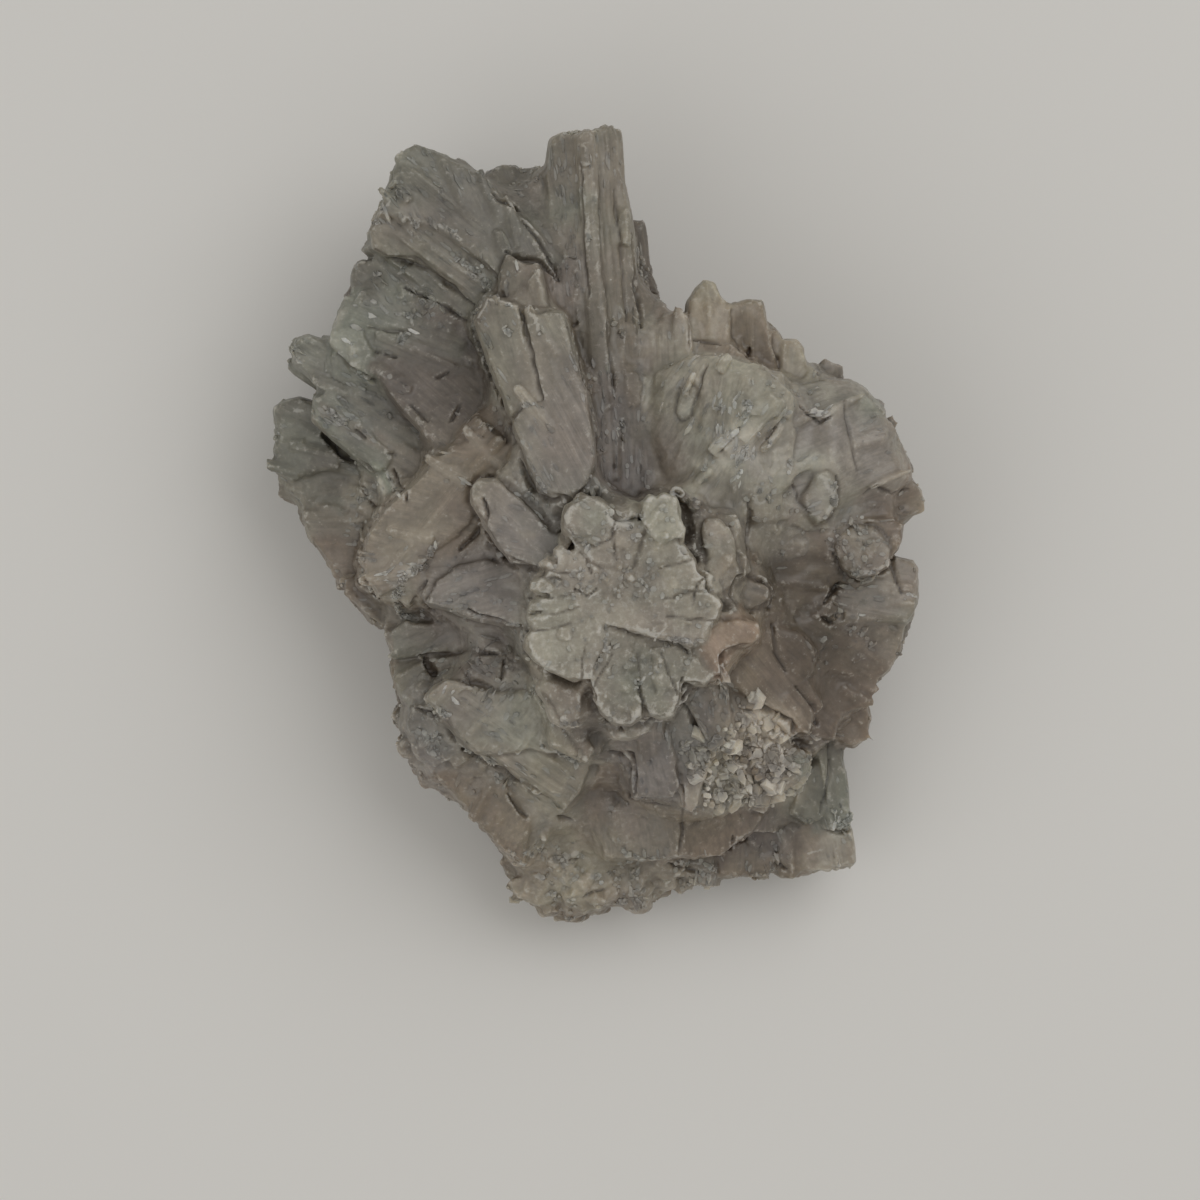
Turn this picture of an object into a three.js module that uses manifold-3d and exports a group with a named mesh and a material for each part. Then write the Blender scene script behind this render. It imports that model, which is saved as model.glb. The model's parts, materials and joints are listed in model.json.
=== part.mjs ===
// A cluster of aragonite: twinned, six-sided columns that radiate from one low core, grown into each
// other and broken off flat underneath. Millimetres, +Z up, -Y the front, and the origin in the middle
// of the face that it rests on.
import * as THREE from "three";
import { mergeVertices } from "three/addons/utils/BufferGeometryUtils.js";
import Module from "manifold-3d";

const wasm = await Module();
wasm.setup();

// Driving dimensions.
const CORE = { at: [0, -1.2, 3.2], size: [8.4, 10.2, 6.6] }; // the mass that every crystal grows from
const LOW_ROOT = [0, -1, 3.6]; // where the lowest ring of crystals starts
const LOW_WIDE = 3.4;
const ROSETTE_FOOT = [1.1, -3.2, 5]; // the upright bundle on top fans out from here
const ROSETTE_FAN = 0.5; // its width at the foot, as a share of its width on top
const CUT_SIZE = 80; // the block that cuts the cluster off at the bottom
const UP = new THREE.Vector3(0, 0, 1);

// Crystals that lie across the cluster, each from its hidden root to the middle of its free end. wide is
// measured level across it and deep square to that. A twinned one has a groove of depth notch, as a share
// of its radius, down the middle of each of its sides. Its corners stop short of the tip by up to step,
// taper is the size of the free end, and bevel how long the slope down to it is.
const COLUMNS = {
  // the broad bodies that close the gaps between the crystals of a fan
  slabBody: { root: [-2.2, 8.8, 7.0], tip: [-7.8, 13.2, 7.6], wide: 4.8, deep: 4.2, sides: 6, step: 0.8 },
  brokenBody: { root: [-4.4, 6.2, 6.6], tip: [-10.0, 8.6, 6.8], wide: 4.8, deep: 3.6, sides: 6, step: 0.8 },
  domeBody: { root: [6.4, 1.0, 7.6], tip: [11.6, 3.8, 7.2], wide: 6.6, deep: 5.6, sides: 7, step: 0.8 },
  // the fan at the left and back
  slabTop: { root: [-1.2, 10.0, 7.4], tip: [-6.9, 15.0, 8.0], wide: 2.4, deep: 3.4, sides: 5, notch: 0.1 },
  slabMiddle: { root: [-1.9, 9.4, 8.4], tip: [-8.6, 15.0, 9.0], wide: 2.4, deep: 4.0, sides: 5, notch: 0.1 },
  slabLower: { root: [-3.0, 8.4, 8.4], tip: [-9.4, 13.3, 8.8], wide: 2.1, deep: 3.6, sides: 5, notch: 0.14 },
  slabFoot: { root: [-4.2, 8.2, 7.8], tip: [-9.9, 12.1, 8.0], wide: 1.4, deep: 3.0, sides: 5 },
  darkRib: { root: [-4.6, 7.4, 7.0], tip: [-10.1, 10.8, 7.2], wide: 1.7, deep: 3.0, sides: 5, step: 1.0 },
  brokenRib: { root: [-4.8, 6.6, 7.6], tip: [-11.1, 9.0, 7.8], wide: 2.1, deep: 3.4, sides: 5, notch: 0.14, step: 1.1 },
  brokenFlake: { root: [-5.0, 6.0, 8.6], tip: [-9.8, 8.0, 8.6], wide: 1.3, deep: 1.8, sides: 5, step: 0.9 },
  brokenLow: { root: [-5.0, 4.8, 7.6], tip: [-11.3, 7.1, 7.4], wide: 2.4, deep: 3.4, sides: 6, notch: 0.14, step: 1.0 },
  longRib: { root: [-6.6, 3.0, 7.2], tip: [-12.9, 7.4, 6.4], wide: 1.9, deep: 2.8, sides: 6 },
  paleRib: { root: [-6.2, 1.6, 7.8], tip: [-11.8, 5.0, 7.2], wide: 1.6, deep: 2.4, sides: 6, step: 0.8 },
  leftLobe: { root: [-8.0, 2.4, 5.2], tip: [-13.8, 3.8, 4.6], wide: 3.0, deep: 3.4, sides: 7, step: 0.8 },
  leftLobeLow: { root: [-8.0, 0.8, 4.8], tip: [-13.5, 2.1, 4.0], wide: 2.1, deep: 3.0, sides: 5, step: 0.8 },
  leftFoot: { root: [-7.0, 0.4, 5.2], tip: [-12.6, 0.3, 4.4], wide: 2.8, deep: 3.4, sides: 6, step: 0.7 },
  leftFootLow: { root: [-6.4, -1.2, 5.2], tip: [-11.4, -1.6, 4.4], wide: 2.5, deep: 3.2, sides: 6, step: 0.7 },
  sideFoot: { root: [-5.0, -2.6, 5.8], tip: [-10.3, -3.0, 5.0], wide: 2.2, deep: 3.0, sides: 5 },
  // the tall column at the back, with what stands behind it
  backLobe: { root: [-2.6, 9.6, 6.2], tip: [-4.2, 15.2, 5.8], wide: 2.0, deep: 2.4, sides: 6 },
  backSmall: { root: [-1.6, 10.0, 6.2], tip: [-2.7, 15.2, 6.0], wide: 1.4, deep: 1.8, sides: 5 },
  backBlue: { root: [-1.2, 9.6, 7.0], tip: [-2.9, 13.6, 6.8], wide: 1.2, deep: 1.6, sides: 5 },
  tallLeft: { root: [-0.3, 3.0, 9.2], tip: [-1.7, 16.0, 8.4], wide: 1.5, deep: 2.8, sides: 5, notch: 0.14 },
  tallMiddle: { root: [0.35, 2.0, 9.8], tip: [-0.7, 16.5, 9.0], wide: 1.7, deep: 3.2, sides: 5, notch: 0.14 },
  tallRight: { root: [1.1, 2.4, 9.2], tip: [0.2, 16.7, 8.6], wide: 1.4, deep: 3.0, sides: 5, notch: 0.14 },
  tallShade: { root: [2.0, 6.0, 6.6], tip: [1.2, 13.2, 6.6], wide: 1.7, deep: 2.6, sides: 5, taper: 0.5, bevel: 3 },
  // the bundle that lies on top
  bundleLeft: { root: [-1.8, 1.4, 12.2], tip: [-4.4, 9.1, 12.0], wide: 1.8, deep: 3.0, sides: 5, notch: 0.14, step: 0.8 },
  bundleRight: { root: [-1.2, 0.9, 12.6], tip: [-2.5, 8.4, 12.2], wide: 2.1, deep: 3.2, sides: 6, notch: 0.1 },
  bundleStep: { root: [-2.9, 4.8, 13.2], tip: [-3.3, 8.6, 12.9], wide: 1.1, deep: 1.0, sides: 5 },
  bundleStub: { root: [-3.0, 7.5, 11.2], tip: [-3.8, 10.9, 11.0], wide: 1.4, deep: 2.0, sides: 5, step: 0.8 },
  bundleBlade: { root: [-2.4, 7.0, 11.8], tip: [-2.9, 10.6, 11.4], wide: 0.8, deep: 1.8, sides: 5 },
  bundleDark: { root: [-1.4, 6.0, 10.4], tip: [-2.1, 10.7, 10.2], wide: 1.0, deep: 1.8, sides: 5 },
  // the left side
  beige: { root: [-4.0, 3.6, 10.4], tip: [-9.0, -2.3, 9.0], wide: 3.4, deep: 3.4, sides: 7, notch: 0.12, step: 0.6 },
  short: { root: [-1.6, -2.0, 13.0], tip: [-5.0, 1.3, 12.2], wide: 1.8, deep: 2.2, sides: 6 },
  smooth: { root: [-2.6, -3.3, 11.0], tip: [-7.3, -2.4, 9.4], wide: 2.5, deep: 3.0, sides: 6 },
  recess: { root: [-3.4, -4.8, 6.8], tip: [-9.3, -4.6, 6.0], wide: 2.2, deep: 3.0, sides: 6, step: 0.9 },
  recessLow: { root: [-3.0, -6.0, 6.4], tip: [-8.8, -6.1, 5.4], wide: 2.2, deep: 3.0, sides: 6, step: 0.9 },
  // the front left
  pale: { root: [-6.1, -6.9, 8.2], tip: [-0.9, -10.5, 7.4], wide: 3.7, deep: 4.2, sides: 6 },
  paleFlank: { root: [-4.5, -7.4, 6.0], tip: [-8.4, -8.0, 5.2], wide: 3.0, deep: 3.4, sides: 6 },
  flankOuter: { root: [-6.2, -8.9, 4.6], tip: [-2.7, -14.2, 4.0], wide: 2.0, deep: 4.4, sides: 6 },
  flankInner: { root: [-5.2, -9.6, 6.2], tip: [-2.4, -12.9, 5.4], wide: 1.4, deep: 3.0, sides: 5 },
  // the front
  hangingLeft: { root: [1.7, -7.4, 11.2], tip: [2.2, -11.4, 8.2], wide: 1.9, deep: 2.4, sides: 6 },
  hangingRight: { root: [3.4, -6.8, 11.0], tip: [4.1, -11.2, 7.4], wide: 2.1, deep: 2.6, sides: 6 },
  hangingDark: { root: [0.8, -8.0, 8.4], tip: [0.5, -10.6, 6.4], wide: 1.4, deep: 2.0, sides: 5 },
  hangingGrey: { root: [4.0, -6.0, 11.2], tip: [5.0, -9.4, 9.4], wide: 2.1, deep: 2.6, sides: 5 },
  frontBlock: { root: [1.3, -11.4, 1.5], tip: [1.8, -12.7, 7.2], wide: 2.8, deep: 3.4, sides: 6, step: 0.2 },
  sillBack: { root: [5.6, -8.6, 4.6], tip: [5.8, -13.2, 4.2], wide: 4.6, deep: 3.4, sides: 7 },
  sillLeft: { root: [4.5, -11.0, 3.2], tip: [4.0, -15.4, 3.2], wide: 2.8, deep: 2.8, sides: 6 },
  sillMiddle: { root: [6.5, -11.0, 3.4], tip: [6.3, -15.1, 3.0], wide: 2.8, deep: 2.8, sides: 7 },
  sillRight: { root: [8.3, -10.5, 3.4], tip: [8.4, -14.9, 3.0], wide: 2.0, deep: 2.8, sides: 6 },
  sillCorner: { root: [9.6, -10.5, 3.2], tip: [10.3, -14.6, 3.2], wide: 2.1, deep: 3.0, sides: 5, step: 0.2 },
  stave: { root: [9.1, -7.6, 4.8], tip: [10.1, -13.0, 3.8], wide: 2.0, deep: 3.2, sides: 5 },
  // the right side
  brownFace: { root: [5.2, -4.6, 9.6], tip: [8.4, -8.4, 8.0], wide: 3.4, deep: 4.0, sides: 6 },
  brownShade: { root: [6.8, -3.4, 7.2], tip: [10.4, -7.7, 6.2], wide: 3.0, deep: 3.6, sides: 6 },
  rightLobe: { root: [7.6, -2.4, 7.2], tip: [13.5, -2.8, 7.4], wide: 2.9, deep: 3.6, sides: 6, notch: 0.1 },
  rightMiddle: { root: [7.6, -3.8, 6.8], tip: [12.7, -5.2, 6.6], wide: 2.7, deep: 3.4, sides: 6 },
  rightLow: { root: [7.5, -4.6, 6.0], tip: [11.7, -6.9, 5.8], wide: 2.2, deep: 3.0, sides: 6 },
  drop: { root: [9.4, -5.6, 5.6], tip: [10.9, -9.3, 5.0], wide: 1.6, deep: 2.0, sides: 6 },
  domeBack: { root: [7.0, 1.5, 8.8], tip: [10.3, 5.6, 8.2], wide: 2.8, deep: 4.0, sides: 6, notch: 0.08 },
  domeMiddle: { root: [7.0, 1.0, 9.2], tip: [11.9, 4.4, 8.6], wide: 2.8, deep: 4.0, sides: 6, notch: 0.08 },
  domeRight: { root: [7.0, 0.6, 8.8], tip: [12.9, 2.6, 8.2], wide: 2.6, deep: 3.8, sides: 6 },
  domePoint: { root: [8.5, 0.8, 7.6], tip: [13.9, 1.0, 7.2], wide: 2.8, deep: 3.0, sides: 5, taper: 0.2, bevel: 1.6 },
  domeFoot: { root: [8.0, -0.4, 7.2], tip: [12.8, -0.5, 7.0], wide: 1.8, deep: 2.8, sides: 5 },
  clearBlock: { root: [5.2, 0.4, 10.4], tip: [5.9, 6.6, 11.4], wide: 3.9, deep: 4.0, sides: 6, step: 0.2 },
  clearSide: { root: [3.3, 0.6, 10.0], tip: [3.2, 6.0, 10.4], wide: 2.5, deep: 3.2, sides: 6 },
  clearEdge: { root: [6.8, 1.6, 10.2], tip: [7.9, 5.4, 10.6], wide: 1.7, deep: 2.6, sides: 5 },
  // the honey-coloured tips at the back right
  honeyLump: { root: [3.0, 4.0, 9.4], tip: [2.8, 8.6, 9.4], wide: 2.4, deep: 3.2, sides: 6, step: 0.6 },
  honeyPoint: { root: [4.7, 5.0, 8.6], tip: [4.4, 10.3, 8.8], wide: 1.8, deep: 2.6, sides: 6, taper: 0.3, bevel: 1.2 },
  honeyBlock: { root: [6.2, 4.4, 8.2], tip: [6.0, 9.4, 8.4], wide: 1.9, deep: 2.6, sides: 5, step: 0.2 },
  honeyStep: { root: [6.6, 4.0, 7.6], tip: [6.9, 8.1, 7.6], wide: 1.3, deep: 2.2, sides: 5 },
  honeySmall: { root: [7.6, 3.8, 8.0], tip: [7.9, 7.9, 8.2], wide: 1.3, deep: 2.2, sides: 5, step: 0.3 },
};

// The lowest ring of crystals: only their free ends are listed, and they all start at LOW_ROOT.
const LOW_TIPS = [
  [10.5, 2.6, 4.2],
  [7.4, 6.4, 4.4],
  [2.6, 8.6, 4.2],
  [-0.6, 12.4, 4.6],
  [-5.6, 11.2, 4.4],
  [-8.8, 8.2, 3.8],
  [-10.6, 4.0, 2.8],
  [-9.8, -0.8, 2.6],
  [-8.0, -4.4, 3.0],
  [-6.4, -8.2, 2.6],
  [-4.0, -11.6, 2.4],
  [0.4, -13.6, 1.8],
  [4.8, -12.6, 2.2],
  [8.6, -11.4, 2.4],
  [9.4, -6.4, 3.0],
  [10.6, -2.4, 3.4],
];

// The upright bundle on top, as lobes: x, y and height of the top, and its radius.
const ROSETTE = [
  [0.8, -2.8, 15.1, 2.6],
  [2.2, -2.4, 15.2, 2.0],
  [-0.6, 0.15, 15.4, 1.1],
  [2.35, 0.2, 15.7, 1.05],
  [2.9, 1.2, 15.3, 0.4],
  [3.6, 0.8, 14.9, 0.35],
  [0.1, -1.0, 15.3, 1.0],
  [1.7, -1.3, 15.4, 1.2],
  [3.1, -1.5, 15.3, 1.0],
  [4.1, -2.4, 15.1, 0.65],
  [4.3, -3.4, 15.0, 0.65],
  [4.2, -4.4, 14.8, 0.7],
  [-1.2, -1.7, 15.1, 0.8],
  [-2.3, -2.7, 15.1, 0.75],
  [-2.3, -3.6, 14.9, 0.6],
  [-1.9, -4.8, 15.3, 1.15],
  [-1.1, -6.0, 15.1, 1.0],
  [0.75, -7.1, 15.3, 1.2],
  [2.5, -6.9, 15.2, 1.15],
  [1.5, -5.0, 15.3, 2.3],
  [3.6, -5.6, 14.7, 1.1],
  [-2.1, -6.9, 13.9, 0.75],
  [-1.4, -7.9, 13.1, 0.8],
  [-1.2, -8.8, 11.9, 0.6],
];

// Single crystals that stand up: x, y and height of the top, radius, and the height of the foot.
const UPRIGHTS = [
  [5.0, -0.3, 13.8, 0.75, 9],
  [5.1, -1.7, 14.1, 0.9, 9],
  [6.4, -2.8, 12.2, 0.8, 8],
  [5.2, -3.7, 11.8, 0.4, 8],
  [6.0, -3.6, 11.6, 0.4, 8],
  [10.8, -1.0, 10.6, 1.2, 5],
  [8.8, -1.6, 9.4, 0.9, 5],
  [6.8, 2.2, 12.2, 1.15, 8],
  [8.7, 1.0, 11.2, 1.15, 7],
  [-0.1, -10.2, 6.8, 0.6, 4],
];

// Rounded lumps: centre and half sizes. The wide ones are the mass that the crystals are sunk in.
const LUMPS = [
  { at: [-6.4, 6.6, 5.2], size: [5.0, 5.4, 3.4] },
  { at: [-8.2, 1.4, 3.8], size: [4.2, 3.2, 2.6] },
  { at: [-4.4, -1.8, 6.6], size: [3.6, 3.6, 2.8] },
  { at: [-0.4, 8.6, 6.0], size: [2.6, 5.4, 2.8] },
  { at: [-2.0, 3.6, 9.0], size: [2.6, 4.4, 2.6] },
  { at: [8.4, 2.6, 6.2], size: [4.8, 4.2, 4.4] },
  { at: [5.0, 2.6, 7.6], size: [3.4, 4.2, 4.0] },
  { at: [5.0, 6.4, 6.6], size: [3.2, 2.6, 2.8] },
  { at: [8.6, -3.6, 5.4], size: [4.4, 3.6, 4.0] },
  { at: [4.9, -3.2, 8.8], size: [2.8, 3.2, 3.4] },
  { at: [3.4, -9.4, 5.4], size: [4.2, 3.4, 3.8] },
  { at: [-4.6, -8.4, 5.2], size: [3.8, 3.2, 3.2] },
  { at: [-6.6, -8.0, 6.6], size: [1.8, 1.7, 1.6] },
  { at: [-9.2, 1.2, 6.0], size: [1.0, 0.9, 0.8] },
  { at: [7.4, -1.0, 6.4], size: [1.6, 1.6, 1.4] },
  { at: [6.6, -9.4, 7.4], size: [2.2, 2.0, 1.4] },
  { at: [5.6, -10.6, 6.8], size: [1.6, 1.2, 1.3] },
  { at: [-1.9, -13.4, 3.6], size: [1.9, 1.8, 2.0] },
  { at: [-2.2, -15.0, 3.0], size: [1.2, 1.3, 1.6] },
  { at: [-0.3, -14.9, 3.2], size: [1.5, 1.5, 1.8] },
  { at: [1.6, -14.7, 3.0], size: [1.6, 1.5, 1.8] },
  { at: [-1.0, -15.4, 2.4], size: [1.4, 1.3, 1.3] },
  { at: [3.0, -13.9, 3.0], size: [1.4, 1.5, 1.6] },
  { at: [0.4, -12.4, 2.6], size: [2.6, 2.4, 2.6] },
];

// Repeatable unevenness from 0 to 1, from a crystal's own number.
function uneven(number) {
  const wave = Math.sin(number * 12.9898) * 43758.5453;
  return wave - Math.floor(wave);
}

// A closed three.js geometry as a solid that can be joined and cut.
function solidOf(geometry) {
  geometry.deleteAttribute("normal");
  geometry.deleteAttribute("uv");
  const closed = mergeVertices(geometry, 1e-4);
  const mesh = new wasm.Mesh({
    numProp: 3,
    vertProperties: new Float32Array(closed.getAttribute("position").array),
    triVerts: new Uint32Array(closed.index.array),
  });
  return new wasm.Manifold(mesh);
}

// The outline of a crystal about 2 across: one corner for each side or, on a twin, one rib for each side
// with a groove between two.
function outline(sides, notch, seed) {
  const points = [];
  for (let rib = 0; rib < sides; rib++) {
    const radius = 0.9 + 0.16 * uneven(seed + rib);
    const twinned = [
      [-0.3, radius],
      [0.3, radius],
      [0.5, radius * (1 - notch)],
    ];
    for (const [place, reach] of notch > 0 ? twinned : [[0, 1.04 * radius]]) {
      const angle = ((uneven(seed) + rib + place) * 2 * Math.PI) / sides;
      points.push(new THREE.Vector2(Math.cos(angle) * reach, Math.sin(angle) * reach));
    }
  }
  return new THREE.Shape(points);
}

// One crystal from its root to its tip, with a stepped free end.
function crystal({ root, tip, wide, deep, sides = 6, notch = 0, step = 0.4, taper = 0.94, bevel = 0 }) {
  const seed = 3 * tip[0] + 7 * tip[1];
  const from = new THREE.Vector3(...root);
  const along = new THREE.Vector3(...tip).sub(from);
  const length = along.length();
  along.normalize();
  const side = UP.clone().cross(along).normalize();
  const over = along.clone().cross(side);
  const rings = bevel > 0 ? 2 : 1;
  const geometry = new THREE.ExtrudeGeometry(outline(sides, notch, seed), {
    depth: length,
    steps: rings,
    bevelEnabled: false,
  });
  const corners = geometry.getAttribute("position");
  const corner = new THREE.Vector3();
  for (let i = 0; i < corners.count; i++) {
    corner.fromBufferAttribute(corners, i);
    const rib = Math.round((Math.atan2(corner.y, corner.x) / (2 * Math.PI)) * sides - uneven(seed));
    const atTip = corner.z > 0.9 * length;
    const inSlope = bevel > 0 && corner.z > 0.1 * length && !atTip;
    const size = atTip ? taper : 1;
    let place = inSlope ? length - bevel : corner.z;
    if (atTip) place -= step * uneven(seed + 20 + ((rib + sides) % sides));
    const across = (corner.x * size * wide) / 2;
    const height = (corner.y * size * deep) / 2;
    corner.copy(from).addScaledVector(along, place).addScaledVector(side, across).addScaledVector(over, height);
    corners.setXYZ(i, corner.x, corner.y, corner.z);
  }
  return solidOf(geometry);
}

// A crystal that stands up on the cluster, given by its top.
function upright([x, y, top, radius], foot) {
  return crystal({ root: foot, tip: [x, y, top], wide: 2 * radius, deep: 2 * radius, step: 0.2 });
}

// A rounded lump with uneven sides.
function lump({ at, size }, detail = 1) {
  const geometry = new THREE.IcosahedronGeometry(1, detail);
  const corners = geometry.getAttribute("position");
  for (let i = 0; i < corners.count; i++) {
    const [x, y, z] = [corners.getX(i), corners.getY(i), corners.getZ(i)];
    const own = Math.round(100 * x) + 3 * Math.round(100 * y) + 7 * Math.round(100 * z);
    const reach = 0.88 + 0.24 * uneven(own + at[0]);
    corners.setXYZ(i, at[0] + x * size[0] * reach, at[1] + y * size[1] * reach, at[2] + z * size[2] * reach);
  }
  return solidOf(geometry);
}

function rosetteFoot([x, y]) {
  const [footX, footY, footZ] = ROSETTE_FOOT;
  return [footX + (x - footX) * ROSETTE_FAN, footY + (y - footY) * ROSETTE_FAN, footZ];
}

// Everything that has grown together, as one solid.
function cluster() {
  const grown = [lump(CORE, 2)];
  for (const column of Object.values(COLUMNS)) grown.push(crystal(column));
  for (const tip of LOW_TIPS) grown.push(crystal({ root: LOW_ROOT, tip, wide: LOW_WIDE, deep: LOW_WIDE }));
  for (const lobe of ROSETTE) grown.push(upright(lobe, rosetteFoot(lobe)));
  for (const [x, y, top, radius, foot] of UPRIGHTS) {
    grown.push(upright([x, y, top, radius], [x * 0.96, y * 0.96, foot]));
  }
  for (const one of LUMPS) grown.push(lump(one));
  const whole = grown.reduce((sum, one) => sum.add(one));
  const ground = new THREE.BoxGeometry(CUT_SIZE, CUT_SIZE, CUT_SIZE).translate(0, 0, -CUT_SIZE / 2);
  const shells = whole.subtract(solidOf(ground)).decompose();
  return shells.reduce((outer, one) => (one.volume() > outer.volume() ? one : outer)); // gaps inside are filled
}

function geometryOf(solid) {
  const mesh = solid.getMesh();
  const geometry = new THREE.BufferGeometry();
  geometry.setAttribute("position", new THREE.BufferAttribute(new Float32Array(mesh.vertProperties), 3));
  geometry.setIndex(new THREE.BufferAttribute(new Uint32Array(mesh.triVerts), 1));
  geometry.computeVertexNormals();
  return geometry;
}

const stone = new THREE.MeshStandardMaterial({ color: 0x7c756d, roughness: 0.5, metalness: 0 });
const aragonite = new THREE.Mesh(geometryOf(cluster()), stone);
aragonite.name = "aragonite_cluster";

const part = new THREE.Group();
part.add(aragonite);

export default part;
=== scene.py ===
import json
import math

import bmesh
import bpy
import numpy as np
from mathutils import Matrix, Vector
from mathutils.bvhtree import BVHTree

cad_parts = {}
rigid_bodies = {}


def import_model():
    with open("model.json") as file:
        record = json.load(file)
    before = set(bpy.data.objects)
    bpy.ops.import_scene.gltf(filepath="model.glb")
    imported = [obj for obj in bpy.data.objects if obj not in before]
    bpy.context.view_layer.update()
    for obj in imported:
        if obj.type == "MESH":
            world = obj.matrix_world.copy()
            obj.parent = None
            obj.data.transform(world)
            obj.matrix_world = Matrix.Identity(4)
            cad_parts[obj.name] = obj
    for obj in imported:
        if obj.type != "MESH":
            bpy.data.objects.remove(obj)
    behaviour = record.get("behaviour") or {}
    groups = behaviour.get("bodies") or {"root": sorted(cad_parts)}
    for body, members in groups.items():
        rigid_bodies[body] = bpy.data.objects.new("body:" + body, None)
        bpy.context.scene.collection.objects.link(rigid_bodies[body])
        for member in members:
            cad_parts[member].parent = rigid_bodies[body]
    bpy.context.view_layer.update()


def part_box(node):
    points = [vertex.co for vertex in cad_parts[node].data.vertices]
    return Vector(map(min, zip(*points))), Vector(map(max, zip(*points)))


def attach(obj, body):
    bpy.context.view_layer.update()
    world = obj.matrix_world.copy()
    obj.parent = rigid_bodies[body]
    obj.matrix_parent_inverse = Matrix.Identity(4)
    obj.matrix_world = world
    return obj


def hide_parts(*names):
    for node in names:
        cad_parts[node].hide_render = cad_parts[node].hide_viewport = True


for leftover in list(bpy.data.objects):  # the start-up cube, lamp and camera
    bpy.data.objects.remove(leftover)

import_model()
boxLow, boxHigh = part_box("aragonite_cluster")
millimetre = 0.001
lowCorner, highCorner = np.array(boxLow) / millimetre, np.array(boxHigh) / millimetre
reach = boxHigh.y - boxLow.y  # the cluster's longest side
aside = (-0.05 * millimetre, 0.04 * millimetre)  # from the middle of the box to the middle of the cluster
foot = Vector(((boxLow.x + boxHigh.x) / 2 + aside[0], (boxLow.y + boxHigh.y) / 2 + aside[1], boxLow.z))

camera = {
    "place": (-0.425, -0.174, 8.98),  # in longest sides, from the foot
    "target": (0.0, -0.0945, 0.2395),
    "lens": 208.8,
    "film": 36,
    "clip": (0.01, 10),  # metres
}


def added(name, data):
    made = bpy.data.objects.new(name, data)
    bpy.context.scene.collection.objects.link(made)
    return made


def makeCamera():
    data = bpy.data.cameras.new("camera")
    data.lens, data.sensor_width = camera["lens"], camera["film"]
    data.clip_start, data.clip_end = camera["clip"]
    holder = added("camera", data)
    place = foot + Vector(camera["place"]) * reach
    ahead = (foot + Vector(camera["target"]) * reach - place).normalized()
    right = ahead.cross(Vector((0, 1, 0))).normalized()
    up = right.cross(ahead)
    holder.matrix_world = Matrix.Translation(place) @ Matrix((right, up, -ahead)).transposed().to_4x4()
    bpy.context.scene.camera = holder


makeCamera()
print("camera placed")

# Colours as they look on a face in soft light, in sRGB. lift turns one into the stone's own.
lift = 1.64
tints = {
    "fern": (104, 103, 95), "moss": (96, 94, 86), "umber": (90, 84, 77), "lichen": (107, 109, 100),
    "khaki": (112, 107, 97), "taupe": (109, 102, 94), "violet": (105, 101, 97), "mauve": (114, 109, 103),
    "sand": (116, 108, 98), "bone": (127, 121, 111), "pearl": (135, 131, 120), "honey": (135, 128, 114),
    "amber": (113, 104, 91), "cocoa": (105, 95, 83), "bark": (90, 81, 72), "rust": (128, 113, 99),
    "dusk": (86, 80, 75), "peat": (72, 64, 55), "frost": (140, 139, 130), "chalk": (172, 168, 158),
    "cream": (180, 171, 156),
}


def stoneColour(name):
    seen = np.array(tints[name]) / 255
    return lift * np.where(seen > 0.04045, ((seen + 0.055) / 1.055) ** 2.4, seen / 12.92)  # sRGB to linear


def uneven(number):
    # a chance value from 0 to 1, always the same one for the same number
    wave = np.sin(np.asarray(number, dtype=float) * 12.9898) * 43758.5453
    return wave - np.floor(wave)


def cellCorners(cell, part):
    # the eight corners of each point's cell, each with its share of the value there
    for corner in range(8):
        offset = np.array([corner & 1, corner >> 1 & 1, corner >> 2 & 1])
        yield cell + offset, np.prod(np.where(offset == 1, part, 1 - part), axis=1)


def valueNoise(points, seed):
    # smooth noise from -1 to 1, with one cell to the unit
    cell = np.floor(points).astype(np.int64)
    part = points - cell
    value = np.zeros(len(points))
    for where, share in cellCorners(cell, part * part * (3 - 2 * part)):
        key = where[:, 0] * 73856093 ^ where[:, 1] * 19349663 ^ where[:, 2] * 83492791 ^ seed * 9973
        key = (key ^ (key >> 13)) & 0x7FFFFFFF
        key = (key * 1274126177) & 0x7FFFFFFF
        value += (((key ^ (key >> 15)) & 0xFFFF) / 32767.5 - 1) * share
    return value


def cloud(points, size, seed=0, layers=3):
    return sum(valueNoise(points * (2**k / size), seed + k) * 0.55**k for k in range(layers))


def layered(points, layers):
    return sum(high * valueNoise(points * scale, seed) for high, scale, seed in layers)


def within(limits, share):
    return limits[0] + (limits[1] - limits[0]) * share


def unit(vector):
    return vector / np.linalg.norm(vector)


def axesAlong(along):
    # three axes with the last one along the crystal and the first one level
    side = unit(np.cross((0, 0, 1), along))
    return np.array([side, np.cross(along, side), along])


def outline(sides, notch, seed):
    # one corner for each side or, on a twin, one rib for each side with a groove between two
    points = []
    for rib in range(sides):
        radius = 0.9 + 0.16 * uneven(seed + rib)
        places = [(0, 1.04 * radius)]
        if notch > 0:
            places = [(-0.3, radius), (0.3, radius), (0.5, radius * (1 - notch))]
        for place, size in places:
            angle = (uneven(seed) + rib + place) * 2 * math.pi / sides
            points.append((math.cos(angle) * size, math.sin(angle) * size))
    return np.array(points)


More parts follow.
